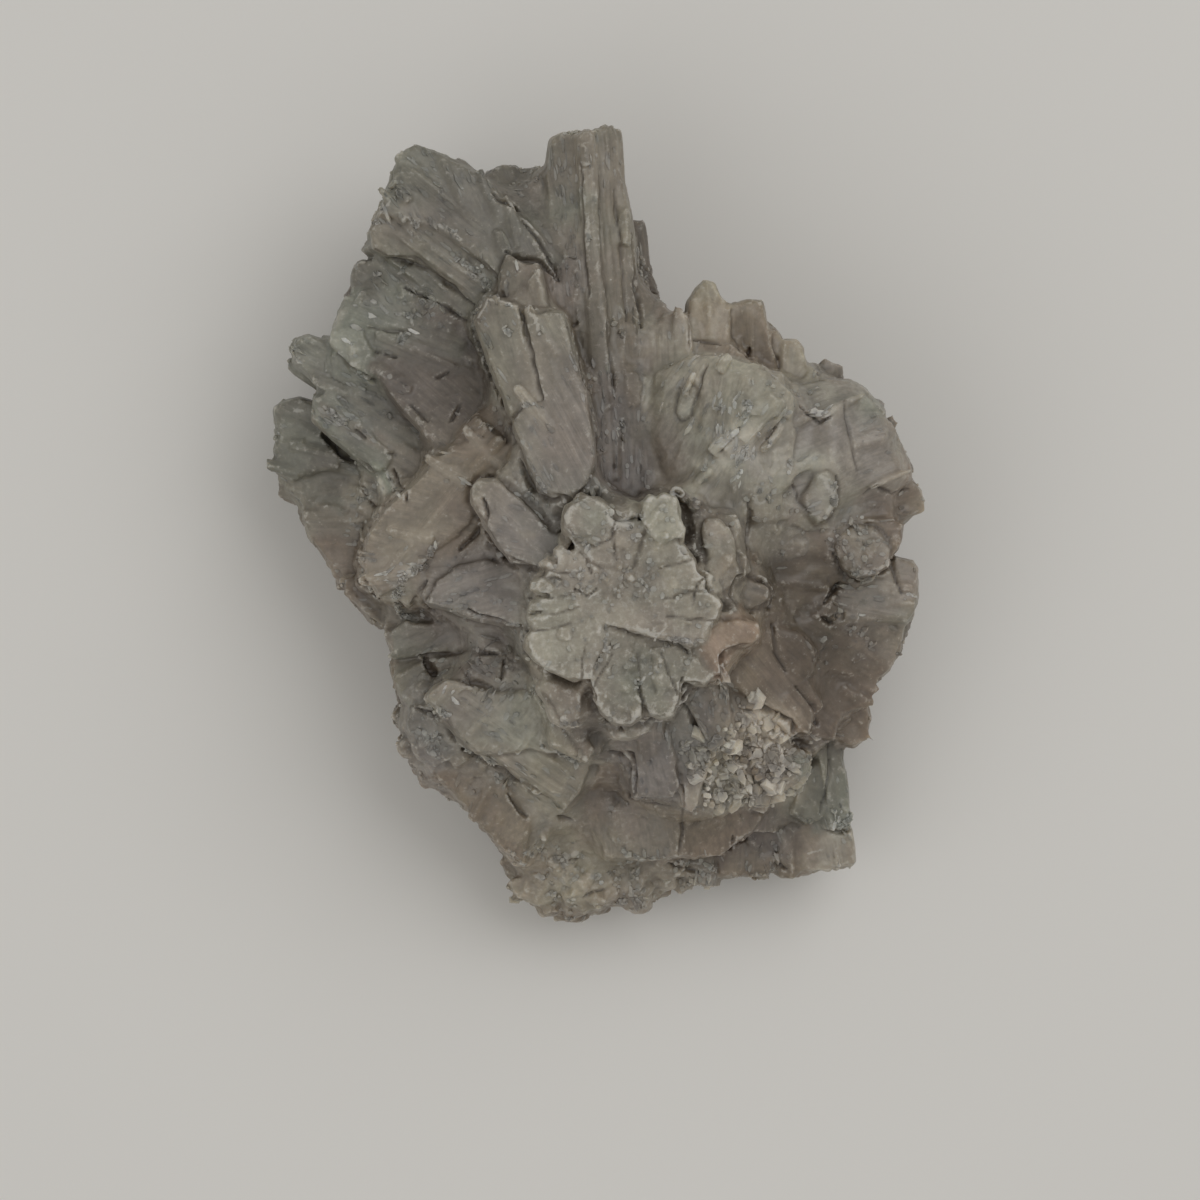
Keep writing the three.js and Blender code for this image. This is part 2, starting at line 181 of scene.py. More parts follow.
def rod(root, tip, wide, deep, corners, seed, tint, step=0.4, taper=0.94, bevel=0.0):
    root, tip = np.array(root, dtype=float), np.array(tip, dtype=float)
    length = np.linalg.norm(tip - root)
    return {
        "kind": "rod",
        "root": root,
        "length": length,
        "axes": axesAlong((tip - root) / length),
        "half": (wide / 2, deep / 2),
        "corners": corners,
        "drops": step * uneven(seed + 20 + np.arange(len(corners))),
        "taper": taper,
        "bevel": bevel,
        "seed": float(seed),
        "tint": [stoneColour(name) for name in tint],
    }


def crystal(root, tip, wide, deep, tint, sides=6, rods=0, notch=0, step=0.4, taper=0.94, bevel=0):
    # the crystal itself and the thinner ones that run along it, each broken off at its own length
    seed = 3 * tip[0] + 7 * tip[1]
    tip = np.array(tip, dtype=float)
    same = (wide, deep, outline(sides, notch, seed), seed, tint, step, taper, bevel)
    whole = rod(root, tip, *same)
    if not rods:
        return [whole]
    side, over, along = whole["axes"]
    broken = max(step, 0.4)
    made = [rod(root, tip - along * 0.3 * broken, *same)]
    for index in range(rods):
        angle = (index + 0.6 * uneven(seed + 40 + index) + uneven(seed + 3)) * 2 * math.pi / rods
        thick = 0.4 + 0.2 * uneven(seed + 60 + index)
        out = 0.92 - thick
        place = side * math.cos(angle) * out * wide / 2 + over * math.sin(angle) * out * deep / 2
        short = broken * 1.2 * uneven(seed + 80 + index)
        ends = (np.array(root) + place, tip - along * short + place)
        shape = outline(5 + index % 2, 0, seed + 9 * index)
        made.append(rod(*ends, wide * thick, deep * thick, shape, seed + 100 + index, tint, 0.3, 0.85))
    return made


def ringFaces(count, low, high):
    # the faces between two rings of points, each given by the number of its first point
    turn = np.arange(count)
    after = (turn + 1) % count
    return np.stack([low + turn, low + after, high + after, high + turn], axis=1).tolist()


def rodMesh(one):
    count, seed, length = len(one["corners"]), one["seed"], one["length"]
    clear = length - max(one["drops"].max() + 0.15, one["bevel"])
    heights = list(np.linspace(0, clear, max(2, int(clear / 0.9)))) + [length]
    steps = 0.25 + 0.7 * uneven(seed + 7 * np.arange(count))  # where each rib steps in
    rings = []
    for index, height in enumerate(heights):
        last = index == len(heights) - 1
        size = 1 + 0.02 * (uneven(seed + 13 * index + np.arange(count)) - 0.5)
        size = (size - 0.06 * (height / length > steps)) * (one["taper"] if last else 1)
        drops = np.full(count, height) - (one["drops"] if last else 0)
        rings.append(np.column_stack([one["corners"] * one["half"] * size[:, None], drops]))
    middle = rings[-1].mean(axis=0) + (0, 0, 0.1 * min(one["half"]))  # the tip is a little domed
    points = np.concatenate([*rings, [(0, 0, 0)], [middle]])
    faces = []
    for index in range(len(rings) - 1):
        faces += ringFaces(count, index * count, (index + 1) * count)
    root, base = len(points) - 2, (len(rings) - 1) * count
    faces += [((k + 1) % count, k, root) for k in range(count)]
    faces += [(base + k, base + (k + 1) % count, root + 1) for k in range(count)]
    return points @ one["axes"] + one["root"], faces


# Crystals that lie across the cluster. Each row holds what crystal takes: the hidden root, the middle of
# the free end, how wide it is level across and how deep square to that, its tints at root and tip, its
# sides, how many thinner crystals run along it, how deeply a twin is grooved, how unevenly the tip broke
# off, the size of the free end and the slope down to it.
columns = {}
columns["fanBack"] = {
    "slabBody": ((-2.2, 8.8, 7), (-7.8, 13.2, 7.6), 4.8, 4.2, ("moss", "fern"), 6, 8, 0, 0.8),
    "brokenBody": ((-4.4, 6.2, 6.6), (-10, 8.6, 6.8), 4.8, 3.6, ("umber", "lichen"), 6, 8, 0, 0.8),
    "slabTop": ((-1.2, 10, 7.4), (-6.9, 15, 8), 2.4, 3.4, ("moss", "fern"), 5, 6, 0.1),
    "slabMiddle": ((-1.9, 9.4, 8.4), (-8.6, 15, 9), 2.4, 4, ("fern", "fern"), 5, 6, 0.1),
    "slabLower": ((-3, 8.4, 8.4), (-9.4, 13.3, 8.8), 2.1, 3.6, ("fern", "khaki"), 5, 6, 0.14),
    "slabFoot": ((-4.2, 8.2, 7.8), (-9.9, 12.1, 8), 1.4, 3, ("moss", "fern"), 5, 5),
    "darkRib": ((-4.6, 7.4, 7), (-10.1, 10.8, 7.2), 1.7, 3, ("umber", "moss"), 5, 6, 0, 1),
    "brokenRib": ((-4.8, 6.6, 7.6), (-11.1, 9, 7.8), 2.1, 3.4, ("moss", "lichen"), 5, 7, 0.14, 1.1),
    "brokenFlake": ((-5, 6, 8.6), (-9.8, 8, 8.6), 1.3, 1.8, ("umber", "fern"), 5, 4, 0, 0.9),
    "brokenLow": ((-5, 4.8, 7.6), (-11.3, 7.1, 7.4), 2.4, 3.4, ("umber", "lichen"), 6, 7, 0.14, 1),
}
columns["fanLeft"] = {
    "longRib": ((-6.6, 3, 7.2), (-12.9, 7.4, 6.4), 1.9, 2.8, ("fern", "fern"), 6, 5),
    "paleRib": ((-6.2, 1.6, 7.8), (-11.8, 5, 7.2), 1.6, 2.4, ("taupe", "khaki"), 6, 5, 0, 0.8),
    "leftLobe": ((-8, 2.4, 5.2), (-13.8, 3.8, 4.6), 3, 3.4, ("moss", "fern"), 7, 7, 0, 0.8),
    "leftLobeLow": ((-8, 0.8, 4.8), (-13.5, 2.1, 4), 2.1, 3, ("fern", "khaki"), 5, 6, 0, 0.8),
    "leftFoot": ((-7, 0.4, 5.2), (-12.6, 0.3, 4.4), 2.8, 3.4, ("taupe", "khaki"), 6, 6, 0, 0.7),
    "leftFootLow": ((-6.4, -1.2, 5.2), (-11.4, -1.6, 4.4), 2.5, 3.2, ("taupe", "sand"), 6, 6, 0, 0.7),
    "sideFoot": ((-5, -2.6, 5.8), (-10.3, -3, 5), 2.2, 3, ("taupe", "taupe"), 5, 5),
    "beige": ((-4, 3.6, 10.4), (-9, -2.3, 9), 3.4, 3.4, ("cocoa", "sand"), 7, 8, 0.12, 0.6),
    "short": ((-1.6, -2, 13), (-5, 1.3, 12.2), 1.8, 2.2, ("violet", "bone"), 6, 4),
    "smooth": ((-2.6, -3.3, 11), (-7.3, -2.4, 9.4), 2.5, 3, ("violet", "mauve"), 6, 4),
    "recess": ((-3.4, -4.8, 6.8), (-9.3, -4.6, 6), 2.2, 3, ("umber", "taupe"), 6, 5, 0, 0.9),
    "recessLow": ((-3, -6, 6.4), (-8.8, -6.1, 5.4), 2.2, 3, ("bark", "cocoa"), 6, 5, 0, 0.9),
}
columns["backColumns"] = {
    "backLobe": ((-2.6, 9.6, 6.2), (-4.2, 15.2, 5.8), 2, 2.4, ("umber", "moss"), 6, 5),
    "backSmall": ((-1.6, 10, 6.2), (-2.7, 15.2, 6), 1.4, 1.8, ("umber", "moss"), 5, 4),
    "backBlue": ((-1.2, 9.6, 7), (-2.9, 13.6, 6.8), 1.2, 1.6, ("fern", "lichen"), 5, 4),
    "tallLeft": ((-0.3, 3, 9.2), (-1.7, 16, 8.4), 1.5, 2.8, ("umber", "khaki"), 5, 5, 0.14),
    "tallMiddle": ((0.35, 2, 9.8), (-0.7, 16.5, 9), 1.7, 3.2, ("taupe", "khaki"), 5, 6, 0.14),
    "tallRight": ((1.1, 2.4, 9.2), (0.2, 16.7, 8.6), 1.4, 3, ("cocoa", "khaki"), 5, 5, 0.14),
    "tallShade": ((2, 6, 6.6), (1.2, 13.2, 6.6), 1.7, 2.6, ("bark", "umber"), 5, 4, 0, 0.4, 0.5, 3),
    "bundleLeft": ((-1.8, 1.4, 12.2), (-4.4, 9.1, 12), 1.8, 3, ("mauve", "khaki"), 5, 5, 0.14, 0.8),
    "bundleRight": ((-1.2, 0.9, 12.6), (-2.5, 8.4, 12.2), 2.1, 3.2, ("mauve", "khaki"), 6, 5, 0.1),
    "bundleStep": ((-2.9, 4.8, 13.2), (-3.3, 8.6, 12.9), 1.1, 1, ("taupe", "khaki"), 5, 3),
    "bundleStub": ((-3, 7.5, 11.2), (-3.8, 10.9, 11), 1.4, 2, ("umber", "khaki"), 5, 4, 0, 0.8),
    "bundleBlade": ((-2.4, 7, 11.8), (-2.9, 10.6, 11.4), 0.8, 1.8, ("taupe", "bone"), 5, 3),
    "bundleDark": ((-1.4, 6, 10.4), (-2.1, 10.7, 10.2), 1, 1.8, ("bark", "taupe"), 5, 3),
}
columns["rightBlocks"] = {
    "domeBody": ((6.4, 1, 7.6), (11.6, 3.8, 7.2), 6.6, 5.6, ("mauve", "sand"), 7, 0, 0, 0.8),
    "domeBack": ((7, 1.5, 8.8), (10.3, 5.6, 8.2), 2.8, 4, ("mauve", "sand"), 8),
    "domeMiddle": ((7, 1, 9.2), (11.9, 4.4, 8.6), 2.8, 4, ("bone", "sand"), 8),
    "domeRight": ((7, 0.6, 8.8), (12.9, 2.6, 8.2), 2.6, 3.8, ("mauve", "sand")),
    "domePoint": ((8.5, 0.8, 7.6), (13.9, 1, 7.2), 2.8, 3, ("sand", "honey"), 5, 0, 0, 0.4, 0.2, 1.6),
    "domeFoot": ((8, -0.4, 7.2), (12.8, -0.5, 7), 1.8, 2.8, ("cocoa", "sand"), 5, 4),
    "clearBlock": ((5.2, 0.4, 10.4), (5.9, 6.6, 11.4), 3.9, 4, ("bone", "bone"), 6, 7, 0, 0.2),
    "clearSide": ((3.3, 0.6, 9.2), (3.2, 6, 9.2), 2.5, 3.2, ("mauve", "bone"), 6, 5),
    "clearEdge": ((6.8, 1.6, 10.2), (7.9, 5.4, 10.6), 1.7, 2.6, ("mauve", "bone"), 5, 4),
    "honeyLump": ((3, 4, 9.4), (2.8, 8.6, 9.4), 2.4, 3.2, ("sand", "pearl"), 6, 5, 0, 0.6),
    "honeyPoint": ((4.7, 5, 8.6), (4.4, 10.3, 8.8), 1.8, 2.6, ("amber", "honey"), 6, 0, 0, 0.4, 0.3, 1.2),
    "honeyBlock": ((6.2, 4.4, 8.2), (6, 9.4, 8.4), 1.9, 2.6, ("amber", "amber"), 5, 3, 0, 0.2),
    "honeyStep": ((6.6, 4, 7.6), (6.9, 8.1, 7.6), 1.3, 2.2, ("cocoa", "amber"), 5, 3),
    "honeySmall": ((7.6, 3.8, 8), (7.9, 7.9, 8.2), 1.3, 2.2, ("amber", "honey"), 5, 3, 0, 0.3),
}
columns["rightLow"] = {
    "brownFace": ((5.2, -4.6, 9.6), (8.4, -8.4, 8), 3.4, 4, ("cocoa", "cocoa"), 6, 5),
    "brownShade": ((6.8, -3.4, 7.2), (10.4, -7.7, 6.2), 3, 3.6, ("bark", "bark"), 6, 5),
    "rightLobe": ((7.6, -2.4, 7.2), (13.5, -2.8, 7.4), 2.9, 3.6, ("cocoa", "sand"), 6, 6, 0.1),
    "rightMiddle": ((7.6, -3.8, 6.8), (12.7, -5.2, 6.6), 2.7, 3.4, ("taupe", "sand"), 6, 6),
    "rightLow": ((7.5, -4.6, 6), (11.7, -6.9, 5.8), 2.2, 3, ("taupe", "taupe"), 6, 5),
    "drop": ((9.4, -5.6, 5.6), (10.9, -9.3, 5), 1.6, 2, ("cocoa", "sand"), 6, 3),
}
columns["front"] = {
    "pale": ((-6.1, -6.9, 8.2), (-0.9, -10.5, 7.4), 3.7, 4.2, ("taupe", "bone"), 6, 5),
    "paleFlank": ((-4.5, -7.4, 6), (-8.4, -8, 5.2), 3, 3.4, ("taupe", "mauve"), 6, 6),
    "flankOuter": ((-6.2, -8.9, 4.6), (-2.7, -14.2, 4), 2, 4.4, ("taupe", "sand"), 6, 5),
    "flankInner": ((-5.2, -9.6, 6.2), (-2.4, -12.9, 5.4), 1.4, 3, ("taupe", "mauve"), 5, 4),
    "hangingLeft": ((1.7, -7.4, 11.2), (2.2, -11.4, 8.2), 1.9, 2.4, ("taupe", "umber"), 6, 4),
    "hangingRight": ((3.4, -6.8, 11), (4.1, -11.2, 7.4), 2.1, 2.6, ("mauve", "sand"), 6, 4),
    "hangingDark": ((0.8, -8, 8.4), (0.5, -10.6, 6.4), 1.4, 2, ("umber", "umber"), 5, 3),
    "hangingGrey": ((4, -6, 11.2), (5, -9.4, 9.4), 2.1, 2.6, ("taupe", "violet"), 5, 4),
    "frontBlock": ((1.3, -11.4, 1.5), (1.8, -12.7, 7.2), 2.8, 3.4, ("cocoa", "sand"), 6, 5, 0, 0.2),
    "sillBack": ((5.6, -8.6, 4.6), (5.8, -13.2, 4.2), 4.6, 3.4, ("umber", "taupe"), 7, 7),
    "sillLeft": ((4.5, -11, 3.2), (4, -15.4, 3.2), 2.8, 2.8, ("umber", "taupe"), 6, 5),
    "sillMiddle": ((6.5, -11, 3.4), (6.3, -15.1, 3), 2.8, 2.8, ("umber", "cocoa"), 7, 6),
    "sillRight": ((8.3, -10.5, 3.4), (8.4, -14.9, 3), 2, 2.8, ("umber", "cocoa"), 6, 4),
    "sillCorner": ((9.6, -10.5, 3.2), (10.3, -14.6, 3.2), 2.1, 3, ("taupe", "pearl"), 5, 3, 0, 0.2),
    "stave": ((9.1, -7.6, 4.8), (10.1, -13, 3.8), 2, 3.2, ("moss", "fern"), 5, 4),
}

# The lowest ring of crystals starts at one root, and only the free ends are listed.
lowRing = {
    "root": (0, -1, 3.6),
    "wide": 3.4,
    "tint": ("bark", "cocoa"),
    "rods": 6,
    "tips": [
        (10.5, 2.6, 4.2), (7.4, 6.4, 4.4), (2.6, 8.6, 4.2), (-0.6, 12.4, 4.6), (-5.6, 11.2, 4.4),
        (-8.8, 8.2, 3.8), (-10.6, 4, 2.8), (-9.8, -0.8, 2.6), (-8, -4.4, 3), (-6.4, -8.2, 2.6),
        (-4, -11.6, 2.4), (0.4, -13.6, 1.8), (4.8, -12.6, 2.2), (8.6, -11.4, 2.4), (9.4, -6.4, 3),
        (10.6, -2.4, 3.4),
    ],
}

# The upright bundle in the middle: x, y and height of the top of each lobe, and its radius.
rosette = {
    "foot": (1.1, -3.2, 5),
    "fan": 0.5,  # how far the roots spread, as a share of the tops
    "slim": 0.9,
    "tint": ("dusk", "umber"),
    "lobes": [
        (0.8, -2.8, 14.1, 2.6), (2.2, -2.4, 14.1, 2), (-0.6, 0.15, 14.1, 1.1), (2.35, 0.2, 14.1, 1.05),
        (2.9, 1.2, 14.1, 0.4), (3.6, 0.8, 14.1, 0.35), (0.1, -1, 14.1, 1), (1.7, -1.3, 14.1, 1.2),
        (3.1, -1.5, 14.1, 1), (4.1, -2.4, 14.1, 0.65), (4.3, -3.4, 14.1, 0.65), (4.2, -4.4, 14.1, 0.7),
        (-1.2, -1.7, 14.1, 0.8), (-2.3, -2.7, 14.1, 0.75), (-2.3, -3.6, 14.1, 0.6),
        (-1.9, -4.8, 14.1, 1.15), (-1.1, -6, 14.1, 1), (0.75, -7.1, 14.1, 1.2), (2.5, -6.9, 14.1, 1.15),
        (1.5, -5, 14.1, 2.3), (3.6, -5.6, 14.1, 1.1), (-2.1, -6.9, 13.9, 0.75), (-1.4, -7.9, 13.1, 0.8),
        (-1.2, -8.8, 11.9, 0.6),
    ],
}

# Single crystals that stand up: x, y and height of the top, radius, height of the foot, tint, group.
splay = 0.96  # where the foot of each stands, as a share of its top's place
uprights = [
    (5, -0.3, 13.8, 0.75, 9, "bone", "rosette"), (5.1, -1.7, 14.1, 0.9, 9, "bone", "rosette"),
    (6.4, -2.8, 12.2, 0.8, 8, "sand", "rosette"), (5.2, -3.7, 11.8, 0.4, 8, "cocoa", "rosette"),
    (6, -3.6, 11.6, 0.4, 8, "cocoa", "rosette"), (10.8, -1, 10.6, 1.2, 5, "sand", "rightLow"),
    (8.8, -1.6, 9.4, 0.9, 5, "cocoa", "rightLow"), (6.8, 2.2, 12.2, 1.15, 8, "pearl", "rightBlocks"),
    (8.7, 1, 11.2, 1.15, 7, "pearl", "rightBlocks"), (-0.1, -10.2, 6.8, 0.6, 4, "bone", "front"),
]

shapes = {name: [crystal(*row) for row in rows.values()] for name, rows in columns.items()}
shapes["base"] = []
for tip in lowRing["tips"]:
    size = (lowRing["wide"], lowRing["wide"])
    shapes["base"].append(crystal(lowRing["root"], tip, *size, lowRing["tint"], rods=lowRing["rods"]))
shapes["rosette"] = []
footX, footY, footZ = rosette["foot"]
for x, y, top, radius in rosette["lobes"]:
    root = (footX + (x - footX) * rosette["fan"], footY + (y - footY) * rosette["fan"], footZ)
    size = (2 * radius * rosette["slim"],) * 2
    shapes["rosette"].append(crystal(root, (x, y, top), *size, rosette["tint"], sides=9, step=0.15))
for x, y, top, radius, bottom, tint, group in uprights:
    ends = ((x * splay, y * splay, bottom), (x, y, top))
    shapes[group].append(crystal(*ends, 2 * radius, 2 * radius, ("umber", tint), step=0.5, rods=5))


def lump(at, size, tint):
    return {
        "kind": "lump",
        "root": np.array(at, dtype=float),
        "size": np.array(size, dtype=float),
        "tint": [stoneColour(tint)] * 2,
        "seed": float(at[0] * 5 + at[1]),
    }


def studs(at, size, tint):
    # small crystals that grow out through the skin of a lump, pointing away from its middle
    at, size = np.array(at, dtype=float), np.array(size, dtype=float)
    count = int(7.04 * (size[0] * size[1] + size[1] * size[2] + size[2] * size[0]) ** 0.5)
    golden = 2.39996  # the turn from one to the next that spreads them evenly
    made = []
    for index in range(count):
        seed = at[0] * 11 + at[1] * 17 + index * 1.37
        height = 1 - 1.5 * (index + 0.5) / count
        turn = index * golden + uneven(seed)
        flat = math.sqrt(max(0.0, 1 - height * height))
        place = at + size * (math.cos(turn) * flat, math.sin(turn) * flat, height)
        lean = (place - at) / size + 0.5 * (uneven([seed + 1, seed + 2, seed + 3]) - 0.5)
        lean = unit(lean) + (0.001, 0, 0)
        wide = 0.8 + 1.3 * uneven(seed + 4) ** 1.5
        proud = 0.15 + 0.45 * uneven(seed + 5)
        deep = wide * (0.7 + 0.6 * uneven(seed + 6))
        shape = outline(5 + int(2 * uneven(seed + 8)), 0, seed)
        ends = (place - lean * 1.6, place + lean * proud)
        made.append(rod(*ends, wide, deep, shape, seed, (tint, tint), 0.5, 0.75))
    return made


def readArray(items, field, width=3, kind=float):
    values = np.empty(len(items) * width, dtype=kind)
    items.foreach_get(field, values)
    return values.reshape(-1, width)


def lumpMesh(one):
    ball = bpy.data.meshes.new("ball")
    shape = bmesh.new()
    bmesh.ops.create_icosphere(shape, subdivisions=4, radius=1)
    shape.to_mesh(ball)
    shape.free()
    points = readArray(ball.vertices, "co")
    faces = [tuple(face.vertices) for face in ball.polygons]
    bpy.data.meshes.remove(ball)
    bumpy = 1 + 0.13 * cloud(points + one["seed"], 0.7, 5)[:, None]
    return points * bumpy * one["size"] + one["root"], faces


# Rounded lumps: centre, half sizes, tint and group. The crystals are sunk in the wide ones.
lumps = [
    ((0, -1.2, 3.2), (8.4, 10.2, 6.6), "bark", "base"),
    ((-6.4, 6.6, 5.2), (5, 5.4, 3.4), "umber", "fanBack"),
    ((-8.2, 1.4, 3.8), (4.2, 3.2, 2.6), "moss", "fanLeft"),
    ((-4.4, -1.8, 6.6), (3.6, 3.6, 2.8), "umber", "fanLeft"),
    ((-0.4, 8.6, 6), (2.6, 5.4, 2.8), "umber", "backColumns"),
    ((-2, 3.6, 9), (2.6, 4.4, 2.6), "cocoa", "backColumns"),
    ((8.4, 2.6, 6.2), (4.8, 4.2, 4.4), "mauve", "rightBlocks"),
    ((5.6, 1.8, 7.8), (3.6, 4.6, 4.2), "bone", "rightBlocks"),
    ((5, 6.4, 6.6), (3.2, 2.6, 2.8), "amber", "rightBlocks"),
    ((8.6, -3.6, 5.4), (4.4, 3.6, 4), "bark", "rightLow"),
    ((4.9, -3.2, 8.8), (2.8, 3.2, 3.4), "cocoa", "rightLow"),
    ((3.4, -9.4, 5.4), (4.2, 3.4, 3.8), "cocoa", "front"),
    ((-4.6, -8.4, 5.2), (3.8, 3.2, 3.2), "taupe", "front"),
    ((-6.6, -8, 6.6), (1.8, 1.7, 1.6), "mauve", "front"),
    ((-9.2, 1.2, 6), (1, 0.9, 0.8), "bone", "fanLeft"),
    ((7.4, -1, 6.4), (1.6, 1.6, 1.4), "bark", "rightLow"),
    ((6.6, -9.4, 7.4), (2.2, 2, 1.4), "bone", "front"),
    ((5.6, -10.6, 6.8), (1.6, 1.2, 1.3), "bone", "front"),
    ((-1.9, -13.4, 3.6), (1.9, 1.8, 2), "sand", "front"),
    ((-2.2, -15, 3), (1.2, 1.3, 1.6), "sand", "front"),
    ((-0.3, -14.9, 3.2), (1.5, 1.5, 1.8), "sand", "front"),
    ((1.6, -14.7, 3), (1.6, 1.5, 1.8), "sand", "front"),
    ((-1, -15.4, 2.4), (1.4, 1.3, 1.3), "amber", "front"),
    ((3, -13.9, 3), (1.4, 1.5, 1.6), "sand", "front"),
    ((0.4, -12.4, 2.6), (2.6, 2.4, 2.6), "cocoa", "front"),
]
for at, size, tint, group in lumps:
    shapes[group].append([lump(at, size, tint)] + studs(at, size, tint))


def rimGap(points, rim):
    # how far each point is outside the outline, in plan, and less than nothing inside it
    gap = np.full(len(points), 1e9)
    inside = np.zeros(len(points), dtype=bool)
    across, up = points[:, 0], points[:, 1]
    for start, stop in zip(rim, np.roll(rim, -1, axis=0)):
        along = stop - start
        share = np.clip((points[:, :2] - start) @ along / (along @ along), 0, 1)
        gap = np.minimum(gap, np.linalg.norm(points[:, :2] - start - share[:, None] * along, axis=1))
        crossed = start[0] + (up - start[1]) * along[0] / (along[1] if along[1] else 1)
        inside ^= ((start[1] > up) != (stop[1] > up)) & (across < crossed)
    return np.where(inside, -gap, gap)


def unevenRim(rim, seed):
    # the outline in short steps, each set a little in or out
    points = []
    for start, stop in zip(rim, np.roll(rim, -1, axis=0)):
        steps = max(1, int(np.linalg.norm(stop - start) / 0.4))
        points += [start + (stop - start) * k / steps for k in range(steps)]
    place = np.column_stack([points, np.full(len(points), seed)]) * 1.7
    return np.array(points) + 0.08 * np.column_stack([valueNoise(place, 61), valueNoise(place, 62)])


heart = np.array((0.8, -1.0))  # what the crystals point away from, in plan
fullCrust = 0.8  # from here on a face is all granules, and no lines run along it


def plate(rim, tint, rise=0.0, deep=2.0, top=None, lean=None, crust=0.0, domed=0.0, moat=0.0):
    # where no top is given, the face follows the bodies that reach highest under it
    rim = np.reshape(rim, (-1, 2))
    middle = rim.mean(axis=0)
    if top is None:
        low, high = rim.min(axis=0), rim.max(axis=0)
        grid = np.meshgrid(np.arange(low[0], high[0], 0.3), np.arange(low[1], high[1], 0.3))
        spots = np.stack(grid, axis=-1).reshape(-1, 2)
        spots = spots[rimGap(spots, rim) < -0.1]
        heights = np.array([bodyHeight(*spot) for spot in spots])
        away = spots - middle
        if lean is None:
            high = heights > np.percentile(heights, 30)
            terms = np.column_stack([away[high], np.ones(high.sum())])
            lean = np.clip(np.linalg.lstsq(terms, heights[high], rcond=None)[0][:2], -0.35, 0.35)
        top = np.percentile(heights - away @ lean, 78) + rise
    outward = middle - heart
    along = np.append(outward, -0.1 * np.linalg.norm(outward))
    along = unit(along if crust < fullCrust else np.array((0.001, 0, 1)))
    return {
        "kind": "plate",
        "root": np.array([*middle, top]),
        "rim": rim,
        "lean": np.array(lean if lean is not None else (0, 0), dtype=float),
        "deep": deep,
        "crust": crust,
        "domed": domed,
        "moat": moat,
        "length": np.ptp((rim - middle) @ along[:2]) + 0.1,
        "axes": axesAlong(along),
        "seed": float(3 * middle[0] + 7 * middle[1]),
        "tint": [stoneColour(name) for name in tint],
    }


def plateMesh(one):
    rim, middle, domed = unevenRim(one["rim"], one["seed"]), one["root"][:2], one["domed"]
    count = len(rim)
    after = np.roll(rim, -1, axis=0)
    across = after - np.roll(rim, 1, axis=0)
    size = np.maximum(np.linalg.norm(across, axis=1), 0.01)[:, None]
    area = np.sum(rim[:, 0] * after[:, 1] - after[:, 0] * rim[:, 1])
    across = np.column_stack([across[:, 1], -across[:, 0]]) / size * np.sign(area)  # away from the middle
    heights = one["root"][2] + (rim - middle) @ one["lean"]
    rings = []
    for share, down in ((0.3, 0), (0.6, 0.2 * domed), (0.85, 0.6 * domed)) if domed else ():
        rings.append(np.column_stack([middle + share * (rim - middle), heights - down]))
    for out, down in ((-0.14, 0), (0, 0.12), (0.12, 0.6 * one["deep"]), (-0.3, one["deep"])):
        rings.append(np.column_stack([rim + out * across, heights - domed - down]))
    faces = []
    for index in range(len(rings) - 1):
        faces += ringFaces(count, (index + 1) * count, index * count)
    turn = np.arange(count)
    faces += [turn.tolist(), (turn[::-1] + (len(rings) - 1) * count).tolist()]
    return np.concatenate(rings), [face[::-1] for face in faces] if area < 0 else faces


makers = {"rod": rodMesh, "lump": lumpMesh, "plate": plateMesh}


def shards(one):
    # splinters that lie along a broken face, and grains where it is crusted
    low, high = one["rim"].min(axis=0), one["rim"].max(axis=0)
    made = []
    for index in range(int((0.4 + 1.4 * one["crust"]) * np.prod(high - low))):
        seed = one["seed"] + 3.7 * index
        own = uneven(seed + np.arange(8))
        spot = low + (high - low) * own[:2]
        if rimGap(spot[None], one["rim"])[0] > -0.1:
            continue
        height = one["root"][2] + (spot - one["root"][:2]) @ one["lean"]
        if own[7] < one["crust"]:
            place = np.array([*spot, height])
            lean = np.array([own[2] - 0.5, own[3] - 0.5, 0.6 + own[4]])
            wide = 0.3 + 0.5 * own[5] ** 2
            ends = (place - lean * 0.6, place + lean * (0.08 + 0.16 * own[6]))
        else:
            turn, half = 0.4 * (own[2] - 0.5), 0.3 + 0.9 * own[3] ** 1.5
            (x, y), across, along = unit(spot - heart), math.sin(turn), math.cos(turn)
            away = np.array([x * along - y * across, x * across + y * along])
            wide = 0.25 + 0.4 * own[4]
            ends = []
            for side in (-half, half):
                up = height + side * (away @ one["lean"]) - 0.12 + 0.1 * own[5]
                ends.append(np.append(spot + side * away, up))
        shard = rod(*ends, wide, wide * 0.9, outline(5, 0, seed), seed, (), 0.15, 0.7)
        shard["tint"] = [one["tint"][1] * (0.85 + 0.45 * own[6] ** 2)] * 2
        shard["crust"] = one["crust"]
        made.append(shard)
    return made


def everyShape():
    return [one for rows in shapes.values() for row in rows for one in row]


def joined():
    # every shape so far as one list of points and one of faces
    points, faces, count = [], [], 0
    for one in everyShape():
        own, ownFaces = makers[one["kind"]](one)
        own[:, 2] = np.maximum(own[:, 2], 0)
        points.append(own)
        faces += [tuple(count + corner for corner in face) for face in ownFaces]
        count += len(own)
    return np.concatenate(points), faces


def rayHeights(points, faces):
    # a function that tells how high the shapes reach at a place
    tree = BVHTree.FromPolygons(points.tolist(), faces)

    def height(x, y):
        place = tree.ray_cast(Vector((x, y, 30)), Vector((0, 0, -1)))[0]
        return place.z if place else 0.0

    return height


bodyHeight = rayHeights(*joined())

